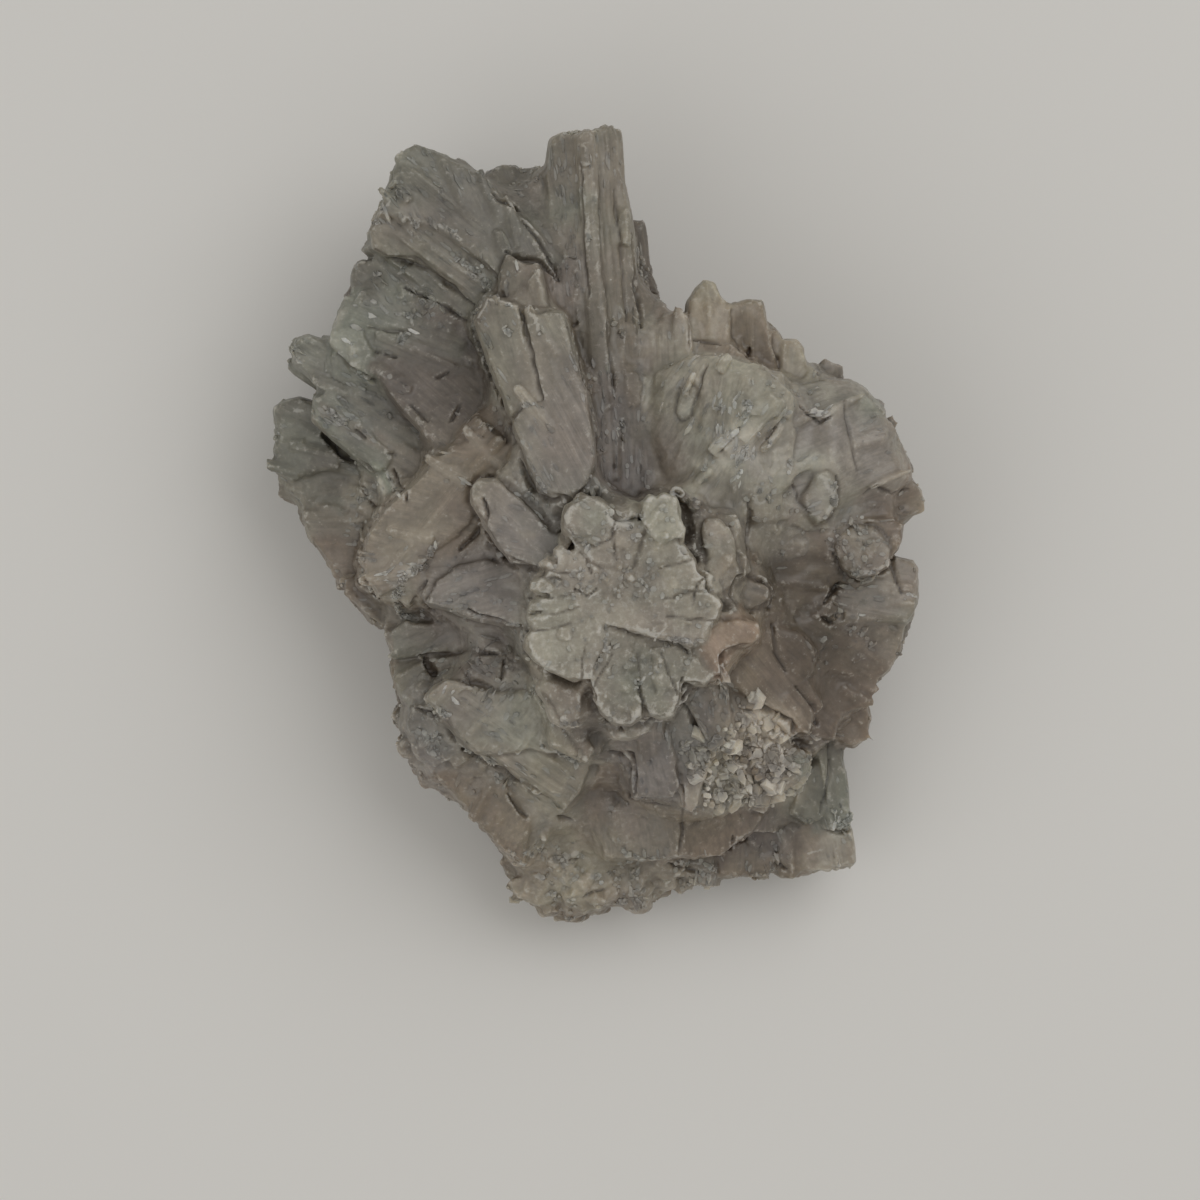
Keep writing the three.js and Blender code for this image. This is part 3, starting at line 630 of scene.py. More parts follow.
# Broken faces that show from above: how far each stands above the bodies under it (or the height of its
# middle as top), how deep it reaches down, how crusted it is, how high its middle is domed, how deep the
# gap round it is cut, and its outline in plan, as x, y of one corner after the other.
plates = {}
plates["fanBack"] = {
    "slab": dict(tint=("moss", "fern"), rise=0.1, deep=2.4, rim=[-7.8, 15.85, -6.6, 15.35, -5.5, 14.8,
        -4.9, 14.4, -4.4, 13.8, -3.9, 13.1, -3.1, 12.6, -2.5, 12, -2.1, 11.2, -1.8, 10.2, -3, 9.8,
        -4.4, 10.2, -5.3, 11.1, -6.9, 12.2, -8.2, 12.6, -9.35, 12.9, -9.2, 13.4, -8.8, 14.1, -8.6, 15,
        -8.2, 15.6]),
    "slabStrip": dict(tint=("fern", "khaki"), rise=-0.15, deep=2.4, lean=(0.12, 0.3), rim=[-9.7, 12.2,
        -9.35, 12.9, -8.2, 12.65, -6.9, 12.2, -5.3, 11.15, -4.4, 10.2, -4.9, 9.7, -5.4, 9.2, -6.2, 9.9,
        -7.2, 10.6, -7.8, 11, -9, 11.15, -9.6, 11.5]),
    "darkRib": dict(tint=("umber", "moss"), rise=0.1, rim=[-10.4, 10.6, -10.1, 11, -9.4, 11.1, -8.9, 10.8,
        -7.8, 10.9, -7.2, 10.6, -6.2, 9.9, -5.4, 9.2, -5.1, 8.9, -5.4, 8.4, -6.4, 9, -7.4, 9.5, -8.3, 10,
        -9, 10.1, -10, 9.9, -10.4, 10.1]),
    "brokenTop": dict(tint=("umber", "fern"), rise=0.1, rim=[-10, 9.7, -8.9, 10, -8.2, 9.9, -7.4, 9.4,
        -6.4, 8.9, -5.5, 8.3, -5.3, 7.9, -6.4, 8.2, -7.5, 8.1, -8.6, 8.1, -10, 8.4, -10.4, 9]),
    "brokenFace": dict(tint=("umber", "dusk"), rise=-0.1, rim=[-9.9, 8.3, -8.6, 8, -7.4, 8, -5.9, 8.1,
        -5.2, 7.8, -4.9, 6.8, -4.5, 5.9, -4.5, 4.5, -5.2, 3.4, -6.6, 3, -7.4, 3.6, -8.4, 4.9, -9.3, 6,
        -9.6, 7]),
    "greenCrust": dict(tint=("lichen", "frost"), rise=0.2, deep=1.6, crust=0.6, rim=[-10.95, 9, -10.3, 9.2,
        -10, 8.6, -9.9, 7.8, -9.5, 7, -9.35, 6.2, -9.9, 6.05, -10.5, 6.4, -11, 7, -11.35, 7.6, -11.1, 8.2]),
}
plates["fanLeft"] = {
    "longRib": dict(tint=("moss", "fern"), rim=[-12.95, 7.3, -12.7, 7.75, -12.2, 7.9, -11.4, 7.7,
        -10.9, 7.1, -10.2, 6.4, -9.4, 5.9, -8.4, 5, -7.4, 3.6, -6.8, 2.6, -7.6, 2, -8.6, 2.8, -9.3, 3.6,
        -9.9, 4.2, -10.9, 5.2, -11.7, 5.8, -12.3, 6.4, -12.8, 6.8]),
    "paleRib": dict(tint=("fern", "lichen"), rise=0.1, crust=0.2, rim=[-12, 5.3, -11.4, 5.6, -10.9, 5.1,
        -9.9, 4.2, -9.3, 3.5, -8.7, 2.9, -9, 2.3, -9.6, 2.3, -10.4, 3, -11.3, 3.7, -12, 4.4]),
    "leftLobe": dict(tint=("moss", "fern"), crust=0.2, rim=[-13.65, 4.95, -13.2, 5.2, -12.6, 5.4, -12, 5.2,
        -11.9, 4.4, -11.3, 3.6, -10.8, 3.1, -11, 2.4, -12.2, 2.2, -13, 1.9, -13.6, 2.4, -13.45, 3.2,
        -13.55, 4.2]),
    "leftLobeLow": dict(tint=("umber", "fern"), crust=0.2, rim=[-13.6, 2.3, -12.6, 2.6, -11.4, 2.5,
        -10.2, 1.9, -9.8, 1.2, -10.2, 0.6, -11.2, 0.4, -12.3, 0.5, -12.6, 1, -13, 1.6]),
    "lens": dict(tint=("violet", "bone"), rise=0.2, deep=1.5, rim=[-10, 1.9, -9.6, 2.15, -9.1, 2.2,
        -8.9, 1.6, -8.7, 1.1, -9.2, 0.85, -9.8, 1]),
    "lensBlade": dict(tint=("bone", "chalk"), rise=0.5, deep=1.5, rim=[-9.15, 2.35, -8.95, 2.4, -8.6, 1.7,
        -8.35, 1, -8.6, 0.9, -8.9, 1.6]),
    "leftFoot": dict(tint=("dusk", "cocoa"), rim=[-12.4, 0.6, -11.2, 0.4, -10.2, 0.6, -9.6, -0.1, -10, -1,
        -10.2, -1.9, -10.9, -2, -11.5, -1.4, -12.1, -0.5]),
    "sideFoot": dict(tint=("umber", "cocoa"), rim=[-10.8, -2.1, -10, -1.9, -9.4, -2.5, -9, -3.2, -8.6, -4,
        -9.2, -4.3, -10.1, -3.4, -10.6, -2.9]),
    "beige": dict(tint=("cocoa", "sand"), rim=[-10.1, -1.5, -9.7, -0.3, -9, 0.7, -8.1, 1.5, -7.2, 2.4,
        -6.3, 3.2, -5.2, 3.6, -4.6, 3.2, -4.5, 2.4, -5, 1.4, -5.2, 0.5, -6, -0.5, -7, -1.1, -7.9, -2,
        -8.6, -2.6, -9.3, -3]),
    "beigeSide": dict(tint=("bark", "cocoa"), rise=-0.6, deep=1.4, rim=[-4.9, 0.6, -5.3, -0.2, -5.9, -0.9,
        -6.8, -2, -8, -3.4, -8.6, -2.9, -8, -1.9, -7, -1, -6, -0.4, -5.2, 0.8]),
    "short": dict(tint=("violet", "bone"), deep=1.6, moat=0.16, rim=[-5.5, 1.4, -5.2, 1.8, -4.5, 1.8,
        -3.5, 0.9, -2.7, 0.1, -1.9, -0.8, -2.4, -1.9, -3.9, -1.7, -4.5, -0.9, -5.1, 0.2, -5.5, 0.9]),
    "smooth": dict(tint=("mauve", "violet"), moat=0.14, rim=[-7.3, -3.3, -6.9, -2.4, -6, -1.8, -4.9, -1.5,
        -3.9, -1.9, -2.8, -2.1, -2.6, -4.3, -3.6, -4.3, -4.7, -4.1, -5.6, -3.9, -6.4, -3.6]),
    "recess": dict(tint=("moss", "fern"), rise=0.1, rim=[-8.9, -4.6, -8.2, -4, -7.2, -4.1, -6, -4,
        -5.8, -4.6, -5.6, -5.4, -6.4, -5.5, -7.6, -5.5, -8.6, -5.6]),
    # painted shade: tinted dusk for the shade that lies in the deep recess beside the rosette
    "recessShade": dict(tint=("dusk", "dusk"), rise=0.1, rim=[-5.9, -4, -4.6, -4.1, -3.4, -4.4, -3, -4.6,
        -2.8, -6, -3.4, -6.9, -4.6, -5.6, -5.7, -5.4]),
    "recessLens": dict(tint=("umber", "taupe"), rise=0.3, deep=1.2, rim=[-5.9, -6.2, -5.6, -5.7, -4.8, -5.5,
        -4, -5.7, -4, -6.2, -4.6, -6.7, -5.3, -6.7]),
    "recessCorner": dict(tint=("umber", "khaki"), rise=0.1, rim=[-8.7, -5.8, -7.4, -5.6, -7, -6.3, -7.2, -7,
        -8, -7.7, -8.4, -7]),
}
plates["backColumns"] = {
    "backLobe": dict(tint=("umber", "moss"), rim=[-5, 14.5, -4.7, 14.8, -4.1, 15.1, -3.5, 15.05, -3.3, 14.6,
        -3.4, 13.6, -4, 13.2, -4.5, 13.8]),
    "backBlue": dict(tint=("lichen", "lichen"), rim=[-3.2, 14.6, -2.7, 15.1, -2.2, 15.1, -2.1, 13.6,
        -2.2, 12.4, -2.6, 12, -3.1, 12.6, -3.3, 13.6]),
    "tallLeft": dict(tint=("umber", "khaki"), rim=[-2.05, 16.1, -1.6, 16.35, -1, 16.3, -0.9, 12, -0.7, 8,
        -0.4, 4, -0.9, 3.6, -1.2, 6.5, -1.8, 10, -2.2, 12.6, -2.3, 14.6]),
    "tallMiddle": dict(tint=("taupe", "khaki"), rise=0.15, rim=[-1.1, 16.2, -0.7, 16.5, -0.35, 16.4,
        -0.2, 12, 0.25, 8, 0.5, 5, -0.4, 4, -0.7, 8, -0.9, 12]),
    "tallRight": dict(tint=("taupe", "khaki"), rim=[-0.4, 16.4, 0.15, 16.65, 0.45, 16.2, 0.9, 14.2,
        1.3, 12.4, 1.4, 11.4, 1.5, 9.6, 1.7, 7.6, 1.6, 6, 0.5, 4.4, 0.25, 8, -0.15, 12]),
    "tallFoot": dict(tint=("dusk", "violet"), rise=0.1, rim=[-0.9, 3.8, -0.4, 4.4, 0.5, 5, 1.6, 6.4,
        2.2, 4.8, 2, 3, 1.4, 1.6, 0, 1.2, -0.5, 1.6]),
    "tallShade": dict(tint=("bark", "umber"), rim=[1.4, 12.3, 1.9, 11.3, 2.3, 10.2, 2.7, 8.9, 2.2, 8.3,
        1.7, 7.9, 1.5, 9.6, 1.35, 11.4]),
    "bundleLeft": dict(tint=("khaki", "khaki"), rise=0.1, moat=0.06, rim=[-5.4, 8.4, -5.1, 8.9, -4.9, 9.3,
        -4.3, 9.2, -3.65, 9, -3.4, 8, -3.05, 6.4, -2.75, 5, -3.4, 4.8, -3.9, 4.4, -4.4, 5.7, -4.9, 7]),
    "bundleRight": dict(tint=("mauve", "khaki"), rise=0.15, moat=0.1, rim=[-3.45, 8.8, -2.9, 8.5, -2.2, 8.7,
        -1.8, 8.6, -1.4, 7.2, -0.9, 5.4, -0.5, 3.4, -0.5, 2.3, -0.8, 1.6, -1.4, 1, -2.2, 1.05, -2.8, 1.3,
        -3.3, 2.6, -3.8, 4, -3.4, 4.75, -2.7, 4.95, -2.95, 6.3, -3.25, 7.7]),
    "bundleStub": dict(tint=("taupe", "khaki"), moat=0.08, rim=[-4.4, 9.6, -4.25, 10.7, -3.95, 11.2,
        -3.6, 10.9, -3.2, 10.7, -2.7, 10.7, -2.6, 10.3, -2.4, 9, -3.4, 9, -3.9, 9.3]),
    "bundleBlade": dict(tint=("khaki", "bone"), rise=0.4, deep=1.4, rim=[-3.3, 9.3, -3.1, 10, -2.75, 10.5,
        -2.55, 9.6, -2.3, 8.5, -2.9, 8.3, -3.3, 8.7]),
}
plates["rightBlocks"] = {
    "honeyPoint": dict(tint=("amber", "honey"), lean=(0, -0.25), rim=[3.6, 8.7, 3.65, 9.3, 4, 9.8,
        4.4, 10.2, 4.75, 10.1, 5, 9.5, 5.2, 9.2, 5.4, 9.1, 5.4, 8, 5.3, 7.5, 3.7, 7.4, 3.6, 8]),
    "honeyBlock": dict(tint=("cocoa", "amber"), rim=[5.35, 9.15, 6.1, 9.4, 6.75, 9.4, 6.9, 8.6, 7.1, 8,
        7.35, 7.3, 7.35, 6.8, 6.9, 6.4, 6.2, 6.7, 5.8, 7.2, 5.45, 8]),
    "honeyLump": dict(tint=("sand", "bone"), rim=[2, 8.1, 2.6, 8.8, 3.5, 8.75, 3.7, 8.1, 3.7, 7.4, 3.6, 6.8,
        3, 6.3, 2, 6.2, 1.6, 6.9, 1.7, 7.5]),
    "honeyShelf": dict(tint=("amber", "sand"), rise=-0.1, deep=1.4, rim=[3.6, 7.6, 5.4, 7.5, 6, 6.9,
        6.8, 6.4, 7.4, 6, 6.6, 5.8, 5.6, 6.4, 4.4, 6.8, 3.6, 6.8]),
    "honeySmall": dict(tint=("cocoa", "honey"), rim=[7.35, 7.6, 7.6, 7.8, 8.2, 7.85, 8.5, 7.5, 8.6, 6.8,
        8.7, 6, 8.5, 5.2, 8, 5.3, 7.5, 6.2, 7.35, 6.8]),
    "dome": dict(tint=("mauve", "pearl"), rise=0.5, deep=2.6, lean=(-0.2, -0.05), domed=1.2, rim=[8.6, 5.9,
        9.4, 6, 10.4, 6.05, 11, 5.75, 11.4, 5.3, 11.9, 4.7, 12, 4.1, 12.5, 3.7, 12.9, 2.8, 13, 1.9,
        12.4, 1.35, 11.2, 1.5, 10.4, 1, 9.8, 0.2, 9, 0, 8.4, 0.6, 7.8, 1.3, 7.7, 2.4, 7.9, 3.8, 8.3, 4.7]),
    "domePoint": dict(tint=("cocoa", "sand"), rim=[13, 2, 13.4, 1.6, 13.8, 1.05, 13.3, 0.5, 12.7, 0,
        12, 0.3, 11.2, 0.9, 11.2, 1.4, 12.3, 1.5]),
    "domeFoot": dict(tint=("bark", "cocoa"), rim=[12.6, 0, 12.5, -0.8, 12.1, -1.3, 10, -1, 9.8, 0, 11, 0.3,
        12, 0.3]),
    "moon": dict(tint=("fern", "pearl"), rise=0.5, deep=1.6, moat=0.08, rim=[8.3, 1.2, 8.8, 2, 9.3, 2.15,
        9.7, 1.6, 9.75, 0.8, 9.4, 0.2, 8.9, 0, 8.3, 0.5]),
    "clear": dict(tint=("bone", "pearl"), rise=0.2, deep=2.6, domed=0.6, rim=[2.2, 6.3, 2.9, 6.6, 3.6, 6.9,
        4.4, 7, 5.6, 6.8, 6.6, 6.4, 7.2, 5.8, 7.8, 5.2, 7.7, 4.4, 7.2, 4.6, 6.6, 3.5, 5.8, 2.4, 5, 1.2,
        4.4, 0.8, 3.4, 0.9, 2.6, 1.9, 2.1, 3.4, 2, 4.9]),
    "clearSide": dict(tint=("khaki", "pearl"), rise=-0.2, deep=2.6, rim=[7.7, 4.4, 7.9, 3.8, 7.8, 2.6,
        7.9, 1.6, 7.2, 1.2, 6.4, 0.8, 5.8, 0.3, 4.6, 0.4, 5, 1.2, 5.8, 2.4, 6.6, 3.5, 7.3, 4.6]),
    "lensChip": dict(tint=("pearl", "pearl"), rise=0.35, deep=1.2, moat=0.08, rim=[3, 4.7, 3.2, 5.3,
        3.5, 5.8, 3.75, 5.5, 3.75, 4.9, 3.4, 4.4, 3.1, 4.35]),
    "brightChip": dict(tint=("chalk", "chalk"), rise=0.5, deep=1.2, rim=[8.7, 4.4, 9, 4.8, 9.4, 5.05,
        9.65, 4.95, 9.4, 4.6, 9, 4.3]),
    "ridge": dict(tint=("pearl", "chalk"), rise=0.3, deep=1.2, rim=[6.5, 3.1, 7.1, 3.8, 7.5, 4.5, 7.9, 5,
        8, 4.8, 7.7, 4.2, 7.2, 3.5, 6.6, 3]),
    "splinter": dict(tint=("pearl", "chalk"), rise=0.3, deep=1.2, rim=[4.7, 3, 4.8, 3.5, 5.3, 4.1, 5.5, 4,
        5.3, 3.4, 4.95, 2.9]),
}
plates["rightLow"] = {
    "brownFace": dict(tint=("cocoa", "cocoa"), rim=[5.2, -6.4, 5.3, -5.4, 6.4, -5, 7.2, -4.3, 8.2, -4.4,
        9, -5.2, 8.8, -6.2, 8.2, -6.8, 8.9, -7.8, 8.8, -8.8, 8.2, -8.6, 7.2, -7.6, 6, -7.2, 5.2, -6.9]),
    "dome": dict(tint=("bark", "cocoa"), rise=-0.2, rim=[5.9, -2, 6, -0.6, 6.6, 0.4, 7.6, 0.8, 8.4, 0.2,
        9.2, -0.2, 9.8, -0.8, 9.8, -1.6, 10.2, -2.2, 9.2, -3, 8, -3.2, 7.2, -2.6, 6.4, -2.4]),
    "disc": dict(tint=("mauve", "sand"), rise=0.1, deep=1.6, moat=0.12, rim=[9.7, -1, 10, -0.4, 10.6, -0.05,
        11.3, -0.1, 11.7, -0.4, 12, -1.1, 12, -1.7, 11.4, -2.1, 10.6, -2.25, 10, -1.8]),
    "rightLobe": dict(tint=("cocoa", "taupe"), rim=[9.4, -3, 10, -2.4, 11, -2.2, 12.1, -1.8, 12.4, -1.35,
        13.1, -1.5, 13.35, -2.3, 13.3, -3.2, 13, -4.1, 12, -4, 11, -4.2, 10, -3.9, 9.2, -3.6]),
    "rightMiddle": dict(tint=("bark", "cocoa"), rim=[7.4, -4, 9.3, -3.8, 11, -4.2, 12.9, -4.2, 12.7, -5.4,
        12.3, -6.1, 11.6, -6.6, 9.6, -6.2, 8.2, -6.4, 7.4, -5.6]),
    "rightLow": dict(tint=("bark", "bark"), rim=[8.2, -6.4, 9.6, -6.2, 11.6, -6.6, 11.5, -7.3, 11, -7.7,
        10.2, -8, 9.9, -9, 9, -9, 8.9, -7.9, 8.2, -7.2]),
    "drop": dict(tint=("cocoa", "cocoa"), rise=0.1, deep=1.6, rim=[10.2, -7.8, 11, -7.5, 11.5, -7.6,
        11.6, -8.2, 11.4, -9, 10.9, -9.35, 10.3, -9.1, 10, -8.6]),
}
plates["front"] = {
    "pale": dict(tint=("bone", "bone"), rise=0.1, moat=0.08, rim=[-7.3, -7.2, -6.6, -6.6, -5.6, -6.7,
        -4.6, -7, -3.4, -7, -2.6, -7.3, -2, -8.2, -1.4, -9.2, -1.1, -9.65, -2, -9.6, -3, -9.4, -4.2, -9.6,
        -5.2, -9.6, -6, -8.7, -6.5, -8]),
    "paleLow": dict(tint=("khaki", "khaki"), rise=-0.3, rim=[-1.1, -9.65, -2, -9.6, -3.2, -9.4, -4.4, -9.6,
        -4.9, -9.9, -4, -10.15, -3.2, -10.8, -2.2, -11.4, -1.5, -12, -0.8, -11.3, -0.5, -10.3,
        -0.75, -9.8]),
    "flank": dict(tint=("umber", "violet"), rise=0.1, rim=[-8.2, -8.2, -7.8, -7.6, -7, -7.7, -6.4, -8.1,
        -6.1, -9, -6, -9.6, -7, -10.2, -7.8, -9.5]),
    "flankOuter": dict(tint=("cocoa", "cocoa"), rim=[-6.2, -9.4, -4.9, -10.1, -4.1, -10.6, -3.4, -11.8,
        -2.9, -12.9, -3.1, -14.4, -4.3, -13.3, -5.2, -12.2, -6.5, -11, -7.1, -10.2]),
    "flankInner": dict(tint=("taupe", "taupe"), rise=0.1, rim=[-4, -10.3, -3.2, -11, -2.3, -11.6,
        -1.7, -12.3, -2.2, -13.4, -2.8, -12.8, -3.3, -11.8]),
    "hangingLeft": dict(tint=("taupe", "violet"), rim=[0.5, -8.9, 2, -8.7, 2.7, -8.7, 3.1, -9.8, 3.2, -10.8,
        2.9, -11.5, 2.2, -11.4, 1.4, -11.5, 1.2, -10]),
    "hangingRight": dict(tint=("mauve", "mauve"), rise=0.2, rim=[2.1, -8.4, 3.3, -7.6, 4.1, -9, 4.3, -9.8,
        4.2, -10.6, 4, -11.8, 3.4, -11.8, 3.2, -10.6, 2.7, -9.4]),
    "hangingGrey": dict(tint=("umber", "violet"), rise=0.1, rim=[3.5, -7.4, 4.1, -6.8, 5.1, -6.8, 5.3, -8,
        5.1, -9, 4.6, -9.4, 4.1, -8.8]),
    "knob": dict(tint=("taupe", "taupe"), rise=0.1, deep=1.6, rim=[-0.7, -10, -0.1, -9.7, 0.4, -9.9,
        0.7, -10.6, 0.3, -11.1, -0.3, -11.1, -0.7, -10.6]),
    "frontBlock": dict(tint=("cocoa", "taupe"), rim=[0.1, -12.3, 1.3, -11.6, 1.8, -11.5, 2.9, -11.7,
        3.3, -12, 3.4, -12.9, 3.3, -14, 2, -14.2, 0.3, -14, 0, -13.2]),
    "sillBack": dict(tint=("bark", "cocoa"), rim=[3.4, -12, 4.2, -11.7, 6.2, -12, 7, -12.4, 6.4, -13,
        5.9, -13.4, 5.2, -13.9, 3.4, -14]),
    "sillDark": dict(tint=("dusk", "dusk"), rise=-0.2, rim=[6.2, -12.4, 7.4, -12.3, 8, -12.9, 7.9, -13.9,
        6.6, -13.9, 6.4, -13.2]),
    "sillMiddle": dict(tint=("bark", "cocoa"), rim=[5.1, -14.1, 5.9, -13.7, 7.8, -14, 7.6, -14.6,
        7.2, -14.75, 6.4, -14.95, 5.3, -14.9]),
    "sillRight": dict(tint=("cocoa", "bone"), rim=[7.8, -13, 9, -12.7, 9.8, -12.3, 10.9, -12.9, 11.1, -14.3,
        10.7, -14.55, 9.5, -14.6, 8.4, -14.8, 7.8, -14.4]),
    "stave": dict(tint=("moss", "moss"), rim=[9, -9.3, 9.9, -9, 10.3, -9.2, 10.6, -10.5, 10.8, -12.2,
        10.85, -12.7, 9.9, -12.2, 8.8, -12.6, 8.2, -12.2, 8.5, -11.2, 8.9, -10.2]),
    "staveEdge": dict(tint=("lichen", "fern"), rise=0.15, deep=1.4, rim=[9.8, -9.6, 10.3, -9.4, 10.6, -10.5,
        10.8, -12.1, 10, -12.1, 9.7, -11.4, 9.9, -10.4]),
}
plates["rosette"] = {
    "top": dict(tint=("bone", "bone"), top=15.3, deep=1.2, crust=1, moat=0.9, rim=[-1.85, 0.2, -1.7, 0.6,
        -1.3, 0.85, -0.9, 1, -0.4, 0.95, 0, 0.65, 0.15, 0.3, 0.3, -0.05, 1.1, 0, 1.5, -0.2, 3, -0.9,
        3.5, -1.5, 3.7, -2, 4, -2.3, 4.05, -2.8, 4.4, -3, 4.65, -3.4, 4.5, -4, 4.2, -4.3, 4, -4.9,
        3.4, -5.2, 2.9, -4.95, 1.8, -4.7, 1, -4.5, -0.2, -4.3, -0.4, -5.4, -0.6, -6.4, -1.4, -6.5,
        -2.4, -6.1, -3, -5.7, -3.35, -5.2, -3.35, -4.7, -3.1, -4.4, -3.35, -4, -2.6, -3.8, -3.3, -3.6,
        -3.1, -3.35, -2.4, -3.05, -3.2, -2.8, -3.2, -2.5, -2.6, -2.3, -2.45, -2, -2.75, -1.7, -2.5, -1.6,
        -2.1, -1.75, -2.2, -1.2, -1.9, -1, -1.35, -1.2, -1.7, -0.7, -1.85, -0.3]),
    "topSouth": dict(tint=("khaki", "khaki"), top=14.85, deep=1.6, crust=0.9, moat=0.9, rim=[-0.6, -4.3,
        1, -4.4, 1.8, -4.6, 2.9, -4.9, 3.5, -5.3, 3.9, -5.9, 4.5, -6.3, 4, -6.7, 3.1, -6.6, 2.95, -7.1,
        2.8, -7.6, 2.65, -8, 2.2, -8.1, 1.7, -7.9, 1.5, -7.5, 1.3, -8.1, 0.9, -8.35, 0.3, -8.3, -0.2, -7.9,
        -0.55, -7.3, -0.8, -6.4, -0.9, -5.6]),
    "lobeRight": dict(tint=("pearl", "pearl"), top=15.75, crust=0.9, moat=0.9, rim=[1.3, 0.1, 1.4, 0.8,
        1.8, 1.1, 2, 0.95, 2.3, 1.15, 2.75, 1, 2.85, 0.5, 2.9, 0.1, 3.15, -0.3, 3.1, -0.75, 2.7, -0.7,
        2.1, -1, 1.6, -0.5]),
    "lobeLeft": dict(tint=("bone", "bone"), top=15.6, crust=0.7, moat=0.9, rim=[-1.8, 0.2, -1.6, 0.6,
        -1.2, 0.85, -0.7, 0.95, -0.2, 0.8, 0, 0.4, -0.2, -0.1, -0.8, -0.6, -1.5, -0.7, -1.8, -0.2]),
    "stained": dict(tint=("rust", "rust"), top=14.6, crust=0.4, moat=0.14, rim=[3.4, -4.5, 4.2, -4.3,
        4.7, -4.1, 5.4, -4, 6.2, -4.1, 6.35, -4.8, 5.9, -5.05, 5.2, -5.25, 4.75, -5.6, 4.65, -6.2,
        4.3, -6.4, 3.8, -5.9, 3.6, -5.3]),
    "crumbFlank": dict(tint=("sand", "sand"), top=14, deep=2.4, lean=(0.25, 0.3), crust=1, rim=[-2.9, -6.9,
        -2.5, -6.2, -1.9, -6, -1, -6.2, -0.7, -6.9, -1, -7.6, -1.1, -8.1, -1.6, -8.5, -2.2, -8.2,
        -2.4, -7.4]),
    "crumbFoot": dict(tint=("sand", "sand"), top=11.6, deep=2.4, crust=1, rim=[-2.3, -8.3, -1.4, -8.3,
        -0.9, -8.7, -0.4, -9.4, -0.7, -9.9, -1.5, -9.5, -2.2, -9.2]),
    "shadeSouth": dict(tint=("moss", "umber"), top=11.2, rim=[-0.9, -8.4, -0.5, -7.7, 0, -8.3, 0.2, -8.8,
        -0.1, -9.6, -0.8, -9.4]),
    "ledgeSouth": dict(tint=("violet", "bone"), top=12.4, rim=[0.1, -8.7, 0.5, -8.3, 1.3, -8.5, 1.7, -8,
        2.1, -8.1, 1.9, -8.7, 1.2, -9, 0.4, -9]),
    "uprightNorth": dict(tint=("bone", "bone"), top=14.2, deep=2.6, crust=0.5, moat=0.2, rim=[3.95, -0.3,
        4.15, 0.15, 4.6, 0.15, 4.95, -0.2, 5.2, -0.8, 5.35, -1.4, 5, -1.7, 4.3, -1.7, 4, -1]),
    "uprightSouth": dict(tint=("mauve", "sand"), top=14, deep=2.6, crust=0.3, moat=0.2, rim=[4.2, -1.6,
        5.3, -1.4, 5.55, -2, 5.3, -2.5, 4.8, -2.8, 4.4, -2.9, 4.2, -2.3]),
    "button": dict(tint=("taupe", "sand"), top=12.5, deep=2.4, moat=0.25, rim=[5.3, -2.95, 5.6, -2.5,
        6.1, -2.35, 6.5, -2.5, 6.85, -2.8, 6.85, -3.2, 6.3, -3.5, 5.8, -3.4, 5.4, -3.2]),
}
for name, rows in plates.items():
    for row in rows.values():
        face = plate(**row)
        shapes[name].append([face] + shards(face))
print("crystals laid out:", len(everyShape()))

# Where the cluster is solid, on a coarse grid, blurred: what lies deep between crystals reads high. It sets
# how much painted shade, with some dirt, darkens the hollows.
openGrid = {"cell": 0.4, "margin": 2.4, "blur": 3}


def boxOf(one):
    # the lowest and the highest corner of the space that one shape takes up
    if one["kind"] == "lump":
        return one["root"] - one["size"], one["root"] + one["size"]
    if one["kind"] == "plate":
        low, high = one["root"][2] - one["deep"] - 2, one["root"][2] + 2
        return np.array([*one["rim"].min(axis=0), low]), np.array([*one["rim"].max(axis=0), high])
    ends = np.array([one["root"], one["root"] + one["axes"][2] * one["length"]])
    wide = max(one["half"]) * 1.1
    return ends.min(axis=0) - wide, ends.max(axis=0) + wide


def gapTo(points, one):
    # how far each point is outside one shape, and its place along that shape's axes
    away = points - one["root"]
    if one["kind"] == "lump":
        return (np.linalg.norm(away / one["size"], axis=1) - 1) * one["size"].min(), away
    place = away @ one["axes"].T
    if one["kind"] == "plate":
        above = away[:, 2] - away[:, :2] @ one["lean"]
        return np.maximum(rimGap(points, one["rim"]), np.maximum(above, -above - one["deep"])), place
    half = one["half"]
    sideways = (np.hypot(place[:, 0] / half[0], place[:, 1] / half[1]) - 1) * min(half)
    return np.maximum(sideways, np.maximum(place[:, 2] - one["length"], -place[:, 2])), place


def solidGrid():
    cell = openGrid["cell"]
    low, high = lowCorner - openGrid["margin"], highCorner + openGrid["margin"]
    size = np.ceil((high - low) / cell).astype(int) + 1
    filled = np.zeros(size)
    for one in everyShape():
        if one["kind"] == "plate":
            continue
        first, last = boxOf(one)
        start = np.clip(((first - low) / cell).astype(int), 0, size - 1)
        stop = np.clip(((last - low) / cell).astype(int) + 2, 1, size)
        axes = [low[k] + cell * np.arange(start[k], stop[k]) for k in range(3)]
        points = np.stack(np.meshgrid(*axes, indexing="ij"), axis=-1).reshape(-1, 3)
        block = (gapTo(points, one)[0] < 0).reshape([len(axis) for axis in axes])
        part = filled[start[0] : stop[0], start[1] : stop[1], start[2] : stop[2]]
        np.maximum(part, block, out=part)
    for _ in range(openGrid["blur"]):
        for k in range(3):
            filled = (filled + np.roll(filled, 1, k) + np.roll(filled, -1, k)) / 3
    return low, filled


gridLow, filledGrid = solidGrid()
print("solid grid", filledGrid.shape)


